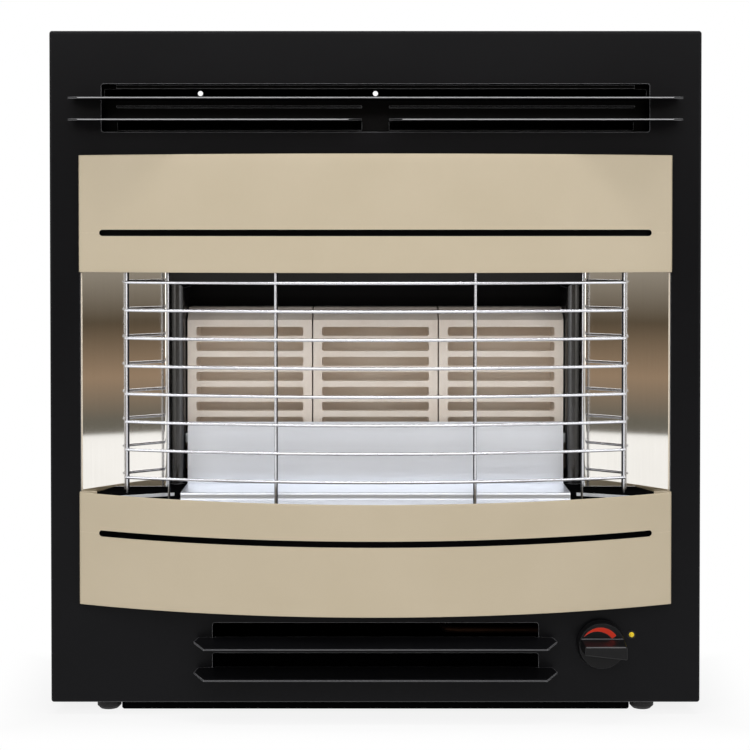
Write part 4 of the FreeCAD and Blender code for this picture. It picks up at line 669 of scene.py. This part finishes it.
def tube(path: np.ndarray, across: Sequence[float], radius: float, sides: int = TUBE_SIDES) -> np.ndarray:
    """A round bar along a path with domed ends: circles in the planes square to the path.

    Args:
        path: points by 3, in metres.
        across: a direction square to the whole path.
        radius: of the bar, in metres.
        sides: points round each circle.

    Returns:
        A grid of circles by points by 3.
    """
    ways = np.gradient(path, axis=0)
    ways /= np.linalg.norm(ways, axis=1)[:, None]
    dome = np.linspace(0, math.pi / 2, DOME_STEPS)
    head = path[0] - ways[0] * (radius * np.cos(dome))[:, None]
    tail = path[-1] + ways[-1] * (radius * np.cos(dome[::-1]))[:, None]
    spine = np.concatenate([head[:-1], path, tail[1:]])
    swell = radius * np.sin(dome)
    sizes = np.concatenate([swell[:-1], np.full(len(path), radius), swell[::-1][1:]])
    ends = len(dome) - 1
    ways = np.concatenate([np.repeat(ways[:1], ends, 0), ways, np.repeat(ways[-1:], ends, 0)])
    first = np.broadcast_to(np.asarray(across, float), ways.shape)
    second = np.cross(ways, first)
    turn = np.linspace(0, 2 * math.pi, sides + 1)
    ring = first[:, None] * np.cos(turn)[:, None] + second[:, None] * np.sin(turn)[:, None]
    return spine[:, None] + ring * sizes[:, None, None]


# Points along a bar, round a hook's bend, and round a thin upright.
BAR_STEPS, BEND_STEPS, THIN_SIDES = 97, 9, 14


@dataclass
class WireGuard:
    """The guard's smooth wires, on the same bow as the CAD wires. Lengths in mm.

    Attributes:
        paint: the materials.
        half: half the guard's width between its outer uprights.
        bow: how far the bars bow out.
        standoff: how far the bars' ends stand off the panel.
        overhang: how far the bars reach past the outer uprights.
        bar_radius: of the bars.
        post_radius: of the hooked uprights.
        thin_radius: of the thin uprights.
        top: height of the top bar.
        pitch: from bar to bar.
        count: of the bars.
        inner_post: how far the inner hooked uprights stand from the middle.
        thin_post: how far the thin uprights stand from the middle.
        thin_overhang: how far the thin uprights reach past the top and bottom bars.
        hooks: heights of the lower and upper hooks.
        hook_tail: how far a hook reaches behind the panel's face.
        hook_bend: radius of a hook's bend.
    """

    paint: Paint
    half: float = 209.0
    bow: float = 32.0
    standoff: float = 5.6
    overhang: float = 2.0
    bar_radius: float = 1.3
    post_radius: float = 1.5
    thin_radius: float = 1.0
    top: float = 366.8
    pitch: float = 23.5
    count: int = 8
    inner_post: float = 82.4
    thin_post: float = 173.0
    thin_overhang: float = 20.0
    hooks: tuple[float, float] = (168.0, 400.0)
    hook_tail: float = 8.0
    hook_bend: float = 4.0

    def radius(self) -> float:
        """Works out the bow's radius from its width and its depth.

        Returns:
            The radius in mm.
        """
        return (self.half**2 + self.bow**2) / (2 * self.bow)

    def centre(self) -> float:
        """Works out where the bow's centre lies.

        Returns:
            Its Y in mm.
        """
        return PANEL_Y - self.standoff - self.bow + self.radius()

    def depth(self, x: float, inset: float) -> float:
        """Works out how far forward the bow is at one place.

        Args:
            x: the place across.
            inset: how far behind the bars' middle line.

        Returns:
            Y in mm.
        """
        return self.centre() - math.sqrt((self.radius() - inset) ** 2 - x**2)

    def bar(self, z: float) -> np.ndarray:
        """Shapes one bar: a tube along a level arc.

        Args:
            z: the bar's height.

        Returns:
            A grid for make_piece.
        """
        spread = math.asin((self.half + self.overhang - self.bar_radius) / self.radius())
        angle = np.linspace(-spread, spread, BAR_STEPS)
        x = self.radius() * np.sin(angle)
        y = self.centre() - self.radius() * np.cos(angle)
        path = np.stack([x, y, np.full_like(angle, z)], axis=1)
        return tube(path * MM, (0, 0, 1), self.bar_radius * MM)

    def hooked_upright(self, x: float) -> np.ndarray:
        """Shapes one hooked upright: a tube along two level tails, two bends and the upright run.

        Args:
            x: its place across.

        Returns:
            A grid for make_piece.
        """
        y = self.depth(x, self.bar_radius + self.post_radius)
        low, high = self.hooks
        bend = self.hook_bend
        tail = PANEL_Y + self.hook_tail - self.post_radius
        quarter = np.linspace(0, math.pi / 2, BEND_STEPS)
        lower = np.stack([y + bend - bend * np.sin(quarter), low + bend - bend * np.cos(quarter)], axis=1)
        upper = np.stack([y + bend - bend * np.cos(quarter), high - bend + bend * np.sin(quarter)], axis=1)
        line = np.concatenate([[[tail, low]], lower, upper, [[tail, high]]])
        path = np.column_stack([np.full(len(line), x), line])
        return tube(path * MM, (1, 0, 0), self.post_radius * MM)

    def thin_upright(self, x: float) -> np.ndarray:
        """Shapes one straight thin upright.

        Args:
            x: its place across.

        Returns:
            A grid for make_piece.
        """
        y = self.depth(x, self.bar_radius + self.thin_radius)
        low = self.top - (self.count - 1) * self.pitch - self.thin_overhang + self.thin_radius
        high = self.top + self.thin_overhang - self.thin_radius
        path = np.array([[x, y, low], [x, y, (low + high) / 2], [x, y, high]])
        return tube(path * MM, (1, 0, 0), self.thin_radius * MM, THIN_SIDES)

    def build(self) -> None:
        """Makes the bars and the uprights, and puts them in the CAD wires' place."""
        levels = [self.top - row * self.pitch for row in range(self.count)]
        bars = make_piece("guard_bars_smooth", [self.bar(z) for z in levels], ROOT)
        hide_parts("guard_bars")
        hooked = (-self.half, -self.inner_post, self.inner_post, self.half)
        thin = (-self.thin_post, self.thin_post)
        posts = [self.hooked_upright(x) for x in hooked] + [self.thin_upright(x) for x in thin]
        uprights = make_piece("guard_uprights_smooth", posts, ROOT)
        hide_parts("guard_uprights")
        for piece in (bars, uprights):
            self.paint.on(piece, "plated_wire")


# Points round the slot's ends and the corners, along half the slot, and from the slot's end to the corner.
ROUND_STEPS, SLOT_STEPS, OUTER_STEPS = 10, 90, 8
# Points round an outside edge, up a strip, and up a turned end.
RIM_STEPS, STRIP_STEPS, END_STEPS = 6, 9, 6


@dataclass
class FasciaBand:
    """One bowed band with its slot, turned ends and rounded edges. Lengths in mm.

    Attributes:
        paint: the materials.
        node: the CAD band that it stands for.
        bottom: height of the lower edge.
        height: of the band.
        bows: how far it bows out at its lower and upper edges.
        slot_z: height of the slot's middle.
        half: half the band's width.
        sheet: its thickness.
        standoff: how far its ends stand off the panel.
        foot: how far the feet reach inward along the panel.
        slot_half: half the slot's length.
        slot_height: of the slot.
        edge: radius of the lower and upper edges.
        corner: radius of the turn at each end.
    """

    paint: Paint
    node: str
    bottom: float
    height: float
    bows: tuple[float, float]
    slot_z: float
    half: float = 249.5
    sheet: float = 1.5
    standoff: float = 6.0
    foot: float = 14.0
    slot_half: float = 231.5
    slot_height: float = 5.4
    edge: float = 0.6
    corner: float = 1.6

    def skin(self, x: np.ndarray, z: np.ndarray, inset: np.ndarray) -> np.ndarray:
        """Places points on the band: a circular arc through both ends, whose bow changes evenly with height.

        Args:
            x: across.
            z: height.
            inset: how far behind the front skin.

        Returns:
            Points in metres.
        """
        share = (z - self.bottom) / self.height
        bow = self.bows[0] + (self.bows[1] - self.bows[0]) * share
        radius = (self.half**2 + bow**2) / (2 * bow)
        reach = self.standoff + bow - radius + np.sqrt(radius**2 - x**2)
        edge = np.clip((np.abs(x) - self.half + self.corner) / self.corner, 0, 1)
        reach = reach - self.corner * (1 - np.sqrt(1 - edge**2))
        x, reach, z, inset = np.broadcast_arrays(x, reach, z, inset)
        return np.stack([x, PANEL_Y - reach + inset, z], axis=-1) * MM

    def columns(self) -> np.ndarray:
        """Spaces points across the band: close together at the slot's round ends and at the corners.

        Returns:
            X of each, from left to right.
        """
        radius = self.slot_height / 2
        turn = np.linspace(0, math.pi / 2, ROUND_STEPS)
        middle = np.linspace(0, self.slot_half - radius, SLOT_STEPS)
        end = self.slot_half - radius + radius * np.sin(turn[1:])
        outer = np.linspace(self.slot_half, self.half - self.corner, OUTER_STEPS)[1:]
        rim = self.half - self.corner + self.corner * np.sin(turn[1:])
        right = np.concatenate([middle, end, outer, rim])
        return np.concatenate([-right[:0:-1], right])

    def strip(
        self, x: np.ndarray, low: np.ndarray, high: np.ndarray, rims: tuple[bool, bool]
    ) -> list[np.ndarray]:
        """Shapes one strip of sheet between two curves of height, with its front, back and edges.

        Args:
            x: places across.
            low: height of the lower edge at each place.
            high: height of the upper edge at each place.
            rims: whether the lower and the upper edge are rounded outside edges.

        Returns:
            Grids for make_piece.
        """
        quarter = np.linspace(0, math.pi / 2, RIM_STEPS)
        round_in = self.edge * (1 - np.sin(quarter))
        round_up = self.edge * (1 - np.cos(quarter))
        shares = np.linspace(0, 1, STRIP_STEPS)
        heights = []
        insets = []
        if rims[0]:
            heights += [low + up for up in round_up[:-1]]
            insets += list(round_in[:-1])
        start = low + (self.edge if rims[0] else 0)
        stop = high - (self.edge if rims[1] else 0)
        heights += [start + (stop - start) * share for share in shares]
        insets += [0.0] * len(shares)
        if rims[1]:
            heights += [high - up for up in round_up[::-1][1:]]
            insets += list(round_in[::-1][1:])
        z = np.stack(heights)
        inset = np.array(insets)[:, None]
        front = self.skin(x[None, :], z, inset)
        back = self.skin(x[None, :], np.stack([high, low]), np.full((2, 1), self.sheet))
        under = np.stack([back[1], front[0]])
        over = np.stack([front[-1], back[0]])
        return [grid[:, ::-1] for grid in (front, over, back, under)]

    def end(self, side: int) -> list[np.ndarray]:
        """Shapes one turned end: the return to the panel, and the foot against it.

        Args:
            side: -1 for the left end and 1 for the right.

        Returns:
            Grids for make_piece.
        """
        z = np.linspace(self.bottom, self.bottom + self.height, END_STEPS)[:, None]
        inner = self.half - self.sheet
        rim = self.standoff - self.corner
        outside = [(self.half, rim), (self.half, 0.0)]
        face = [(self.half, 0.0), (self.half - self.foot, 0.0)]
        inside = [(self.half - self.foot, 0.0), (self.half - self.foot, self.sheet)]
        top = [(self.half - self.foot, self.sheet), (inner, self.sheet)]
        back = [(inner, self.sheet), (inner, self.standoff)]
        grids = []
        for line in (outside, face, inside, top, back):
            x = side * np.array([p[0] for p in line])
            y = PANEL_Y - np.array([p[1] for p in line])
            points = np.broadcast_arrays(x[None, :], y[None, :], z)
            grid = np.stack(points, axis=-1) * MM
            grids.append(grid[:, ::-1] if side > 0 else grid)
        for level in (0, -1):
            plan = [(self.half, rim), (self.half, 0.0), (self.half - self.foot, 0.0)]
            inner_plan = [(inner, self.standoff), (inner, self.sheet), (self.half - self.foot, self.sheet)]
            rows = []
            for line in (plan, inner_plan):
                rows.append([(side * px, PANEL_Y - py, z[level, 0]) for px, py in line])
            grid = np.array(rows) * MM
            flip = (level == 0) == (side > 0)
            grids.append(grid[:, ::-1] if flip else grid)
        return grids

    def build(self) -> None:
        """Makes the band and puts it in the CAD band's place."""
        x = self.columns()
        radius = self.slot_height / 2
        past = np.abs(x) - (self.slot_half - radius)
        gap = np.sqrt(np.clip(radius**2 - np.clip(past, 0, None) ** 2, 0, None))
        top = np.full_like(x, self.bottom + self.height)
        low = np.full_like(x, self.bottom)
        grids = self.strip(x, low, self.slot_z - gap, (True, False))
        grids += self.strip(x, self.slot_z + gap, top, (False, True))
        grids += self.end(-1) + self.end(1)
        band = make_piece(self.node + "_smooth", grids, ROOT)
        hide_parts(self.node)
        self.paint.on(band, "champagne_coated_steel")


# Points along an edge of the grip, and along a bead.
GRIP_STEPS, BEAD_STEPS = 12, 24


@dataclass
class GripEdges:
    """The round upper edges of the knob's grip, at its root and along its front, with a painted highlight.

    Attributes:
        paint: the materials.
        centre: X and Z of the knob's axis.
        top: height of the grip's upper face over the axis.
        root: Y where the grip leaves the knob's face.
        nose: Y of the middle of the front edge's round.
        sink: how far the middle of the root's round lies under the grip's upper face.
        drop: how far the middle of the front edge's round lies under it.
        halves: half lengths of the root's edge and of the front edge.
        radii: of the root's edge and of the front edge.
    """

    paint: Paint
    centre: tuple[float, float] = (190.5, 61.0)
    top: float = 5.9
    root: float = -68.65
    nose: float = -93.98
    sink: float = 0.5
    drop: float = 1.7
    halves: tuple[float, float] = (16.8, 16.2)
    radii: tuple[float, float] = (1.0, 1.15)

    def build(self) -> None:
        """Makes two straight round bars, let into the knob."""
        x, z = self.centre[0], self.centre[1] + self.top
        grids = []
        heights = (z - self.sink, z - self.drop)
        for y, height, half, radius in zip((self.root, self.nose), heights, self.halves, self.radii):
            path = np.linspace((x - half, y, height), (x + half, y, height), GRIP_STEPS)
            grids.append(tube(path * MM, (0, 0, 1), radius * MM))
        self.paint.on(make_piece("grip_edges", grids, "knob"), "black_plastic")


@dataclass
class ReflectorBeads:
    """The rolled edge where each reflector meets the front panel, bright with a painted warm highlight.
    Lengths in mm.

    Attributes:
        paint: the materials.
        across: how far each bead stands from the middle.
        depth: Y of the beads' middle.
        low: height of the lower end.
        high: height of the upper end.
        radius: of the bead.
    """

    paint: Paint
    across: float = 248.2
    depth: float = -55.7
    low: float = 191.0
    high: float = 374.0
    radius: float = 0.7

    def build(self) -> None:
        """Makes one straight upright bar on each side."""
        grids = []
        for x in (-self.across, self.across):
            path = np.linspace((x, self.depth, self.low), (x, self.depth, self.high), BEAD_STEPS)
            grids.append(tube(path * MM, (1, 0, 0), self.radius * MM))
        self.paint.on(make_piece("reflector_beads", grids, ROOT), "polished_stainless")


@dataclass(frozen=True)
class Lamp:
    """One soft box. Lengths in metres.

    Attributes:
        name: of the light.
        place: where it stands.
        size: width and height.
        watts: power.
    """

    name: str
    place: tuple[float, float, float]
    size: tuple[float, float]
    watts: float

    def build(self, aim: Sequence[float]) -> None:
        """Sets the box up.

        Args:
            aim: the point that it faces.
        """
        data = bpy.data.lights.new(self.name, "AREA")
        data.shape = "RECTANGLE"
        data.size, data.size_y = self.size
        data.energy = self.watts
        lamp = bpy.data.objects.new(self.name, data)
        lamp.location = self.place
        away = np.array(self.place, float) - np.array(aim, float)
        tip = math.atan2(math.hypot(away[0], away[1]), away[2])
        lamp.rotation_euler = (tip, 0, math.atan2(away[0], -away[1]))
        bpy.context.scene.collection.objects.link(lamp)
        LOG.info("lit %s", self.name)


# A large box over the camera, a low one on each side, and a strip above that draws the upper edges.
LAMPS = (
    Lamp("front_box", (0.0, -2.6, 1.65), (2.4, 1.4), 34.0),
    Lamp("left_box", (-1.9, -2.2, 0.75), (0.9, 1.4), 11.0),
    Lamp("right_box", (1.9, -2.2, 0.75), (0.9, 1.4), 11.0),
    Lamp("top_strip", (0.0, -0.35, 1.8), (1.8, 0.12), 11.0),
)
# The height that the lamps aim at.
AIM_HEIGHT = 0.3
# The room's wall: the heights between which its tones change, and the tones by their share of that span.
ROOM_HEIGHTS = (-0.1, 0.4)
ROOM_TONES = {0.05: "#747066", 0.27: "#A89078", 0.55: "#605444", 0.8: "#A0988C"}


def stage_sheet(name: str, corners: Sequence[Sequence[float]], material: bpy.types.Material) -> None:
    """Makes one flat piece of the stage.

    Args:
        name: of the piece.
        corners: its four corners in order, in metres.
        material: what it shows.
    """
    mesh = bpy.data.meshes.new(name)
    mesh.from_pydata(corners, [], [range(len(corners))])
    mesh.materials.append(material)
    sheet = bpy.data.objects.new(name, mesh)
    bpy.context.scene.collection.objects.link(sheet)
    LOG.info("staged %s", name)


@dataclass
class Studio:
    """Camera, floor and light of a plain product photograph. Lengths in metres.

    Attributes:
        distance: from the camera to the front panel.
        eye: height of the camera.
        aside: how far the camera stands off the middle.
        scale: mm of the front panel per pixel of the picture.
        pixels: width of the picture.
        sensor: width of the camera's sensor, in mm.
        shift: share of the picture that the lens is shifted down by.
        tilt: degrees that the camera looks down.
        floor_half: half the width of the pale floor.
        floor_depth: how far the floor comes forward.
        floor_back: how far the floor goes back.
        shaded: half the width and half the depth of the floor round the fire that shows most shade.
        fade: how far past that the floor takes on the background's white.
        whitened: share of the background's white that the floor has there already.
        mirror_share: share of that white that metal shows in the floor.
        mirrored: how bright metal shows the floor.
        soft: strength of the world's own light.
        room_half: half the width of the room's wall.
        room_depth: how far in front of the fire the wall stands.
        room_span: heights of the wall's lower and upper edges.
    """

    distance: float = 1.5
    eye: float = 0.4107
    aside: float = -0.0004
    scale: float = 0.8436
    pixels: int = 750
    sensor: float = 36.0
    shift: float = -0.15
    tilt: float = 1.047
    floor_half: float = 1.72
    floor_depth: float = 2.07
    floor_back: float = 1.0
    shaded: tuple[float, float] = (0.265, 0.07)
    fade: float = 0.09
    whitened: float = 0.85
    mirror_share: float = 0.85
    mirrored: float = 1.3
    soft: float = 0.19
    room_half: float = 3.0
    room_depth: float = 3.0
    room_span: tuple[float, float] = (-0.5, 2.4)

    def camera(self) -> None:
        """Sets up a long lens, level with the upper part of the fire and shifted down."""
        data = bpy.data.cameras.new("camera")
        data.sensor_width = self.sensor
        data.lens = data.sensor_width * self.distance / (self.scale * MM * self.pixels)
        data.shift_y = self.shift
        camera = bpy.data.objects.new("camera", data)
        camera.location = (self.aside, PANEL_Y * MM - self.distance, self.eye)
        camera.rotation_euler = (math.radians(90 - self.tilt), 0, 0)
        bpy.context.scene.collection.objects.link(camera)
        bpy.context.scene.camera = camera

    def floor(self) -> None:
        """Makes a pale matt floor, which ends in front so that polished sheet shows its edge."""
        half, front, back = self.floor_half, -self.floor_depth, self.floor_back
        corners = [(-half, front, 0.0), (half, front, 0.0), (half, back, 0.0), (-half, back, 0.0)]
        stage_sheet("floor", corners, self.floor_material())

    def floor_material(self) -> bpy.types.Material:
        """Builds a matt white that fades to the white of the background a hand's width from the fire.

        Returns:
            The new material.
        """
        finish = Finish(
            "pale_floor", "#F4F4F4", "#F8F8F8", roughness=0.9, grain_mm=4.0, bump_mm=0.0, specular=0.1
        )
        material = finish.material()
        tree = material.node_tree
        shader = next(n for n in tree.nodes if n.type == "BSDF_PRINCIPLED").outputs[0]
        output = next(n for n in tree.nodes if n.type == "OUTPUT_MATERIAL")
        place = add_node(tree, "ShaderNodeTexCoord").outputs["Object"]
        across, deep = self.shaded
        middle = vectors(tree, "SUBTRACT", place, (0.0, PANEL_Y * MM + deep, 0.0)).outputs[0]
        away = vectors(tree, "ABSOLUTE", middle).outputs[0]
        past = vectors(tree, "SUBTRACT", away, (across, deep, 0.0)).outputs[0]
        sides = add_node(tree, "ShaderNodeSeparateXYZ", {0: past}).outputs
        gap = sums(tree, "MAXIMUM", sides["X"], sides["Y"])
        fade = ranged(tree, gap, (0.0, self.fade), (self.whitened, 1.0), interpolation_type="SMOOTHSTEP")
        path = add_node(tree, "ShaderNodeLightPath").outputs
        seen = sums(tree, "MULTIPLY", fade, path["Is Camera Ray"])
        mirror = sums(tree, "MAXIMUM", path["Is Glossy Ray"], path["Is Transmission Ray"])
        shown = sums(tree, "MULTIPLY_ADD", mirror, self.mirror_share, seen, use_clamp=True)
        power = sums(tree, "MULTIPLY_ADD", mirror, self.mirrored - 1, 1.0)
        glow = add_node(tree, "ShaderNodeEmission", {"Color": linear(WHITE), "Strength": power}).outputs[0]
        mix = add_node(tree, "ShaderNodeMixShader", {0: shown, 1: shader, 2: glow}).outputs[0]
        tree.links.new(mix, output.inputs["Surface"])
        return material

    def world(self) -> None:
        """Sets the world: white to the camera, to metal and through glass, soft white to everything else."""
        world = bpy.data.worlds.new("studio")
        bpy.context.scene.world = world
        world.use_nodes = True
        tree = world.node_tree
        tree.nodes.clear()
        path = add_node(tree, "ShaderNodeLightPath").outputs
        mirror = sums(tree, "MAXIMUM", path["Is Glossy Ray"], path["Is Transmission Ray"])
        seen = sums(tree, "MAXIMUM", path["Is Camera Ray"], mirror)
        tone = {"Color": linear(WHITE)}
        soft = add_node(tree, "ShaderNodeBackground", {**tone, "Strength": self.soft}).outputs[0]
        white = add_node(tree, "ShaderNodeBackground", {**tone, "Strength": 1.0}).outputs[0]
        both = add_node(tree, "ShaderNodeMixShader", {0: seen, 1: soft, 2: white}).outputs[0]
        add_node(tree, "ShaderNodeOutputWorld", {"Surface": both})

    def room(self) -> None:
        """Makes the wall of the room behind the camera, which polished sheet shows."""
        half, y = self.room_half, -self.room_depth
        low, high = self.room_span
        corners = [(-half, y, low), (-half, y, high), (half, y, high), (half, y, low)]
        stage_sheet("room_wall", corners, self.room_material())

    def room_material(self) -> bpy.types.Material:
        """Builds plain warm tones by height, for metal to show. All other light passes through.

        Returns:
            The new material.
        """
        material = empty_material("room_wall")
        tree = material.node_tree
        place = add_node(tree, "ShaderNodeTexCoord").outputs["Object"]
        height = add_node(tree, "ShaderNodeSeparateXYZ", {0: place}).outputs["Z"]
        ramp = add_node(tree, "ShaderNodeValToRGB", {0: ranged(tree, height, ROOM_HEIGHTS)})
        stops = ramp.color_ramp.elements
        lowest, *between, highest = ROOM_TONES.items()
        for stop, (share, code) in zip(stops, (lowest, highest)):
            stop.position, stop.color = share, linear(code)
        for share, code in between:
            stops.new(share).color = linear(code)
        glow = add_node(tree, "ShaderNodeEmission", {"Color": ramp.outputs[0], "Strength": 1.0}).outputs[0]
        clear = add_node(tree, "ShaderNodeBsdfTransparent").outputs[0]
        glossy = add_node(tree, "ShaderNodeLightPath").outputs["Is Glossy Ray"]
        mix = add_node(tree, "ShaderNodeMixShader", {0: glossy, 1: clear, 2: glow}).outputs[0]
        add_node(tree, "ShaderNodeOutputMaterial", {"Surface": mix})
        return material

    def build(self) -> None:
        """Sets up the whole picture."""
        bpy.context.scene.view_settings.view_transform = "Standard"
        self.camera()
        self.floor()
        for lamp in LAMPS:
            lamp.build((0.0, PANEL_Y * MM, AIM_HEIGHT))
        self.world()
        self.room()


# The bands in mm: their lower edges, heights and bows, and how far each slot lies from the edge nearer to it.
UPPER_BOTTOM, UPPER_HEIGHT, UPPER_BOWS = 375.3, 98.2, (33.0, 33.0)
LOWER_BOTTOM, LOWER_HEIGHT, LOWER_BOWS = 95.4, 94.4, (53.7, 70.7)
SLOT_INSET = 33.0
# How far the radiants' edges are rounded, in mm, and in how many steps.
RADIANT_ROUND, RADIANT_STEPS = 0.9, 3


def main() -> None:
    """Dresses the CAD nodes, makes the smooth pieces and sets up the studio."""
    paint = Paint(FINISHES, VARIANTS)
    paint.nodes()
    soften(("radiant_left", "radiant_centre", "radiant_right"), RADIANT_ROUND, RADIANT_STEPS)
    Studio().build()
    WireGuard(paint).build()
    upper_slot = UPPER_BOTTOM + SLOT_INSET
    lower_slot = LOWER_BOTTOM + LOWER_HEIGHT - SLOT_INSET
    FasciaBand(paint, "upper_fascia", UPPER_BOTTOM, UPPER_HEIGHT, UPPER_BOWS, upper_slot).build()
    FasciaBand(paint, "lower_fascia", LOWER_BOTTOM, LOWER_HEIGHT, LOWER_BOWS, lower_slot).build()
    GripEdges(paint).build()
    ReflectorBeads(paint).build()


if __name__ == "__main__":
    main()
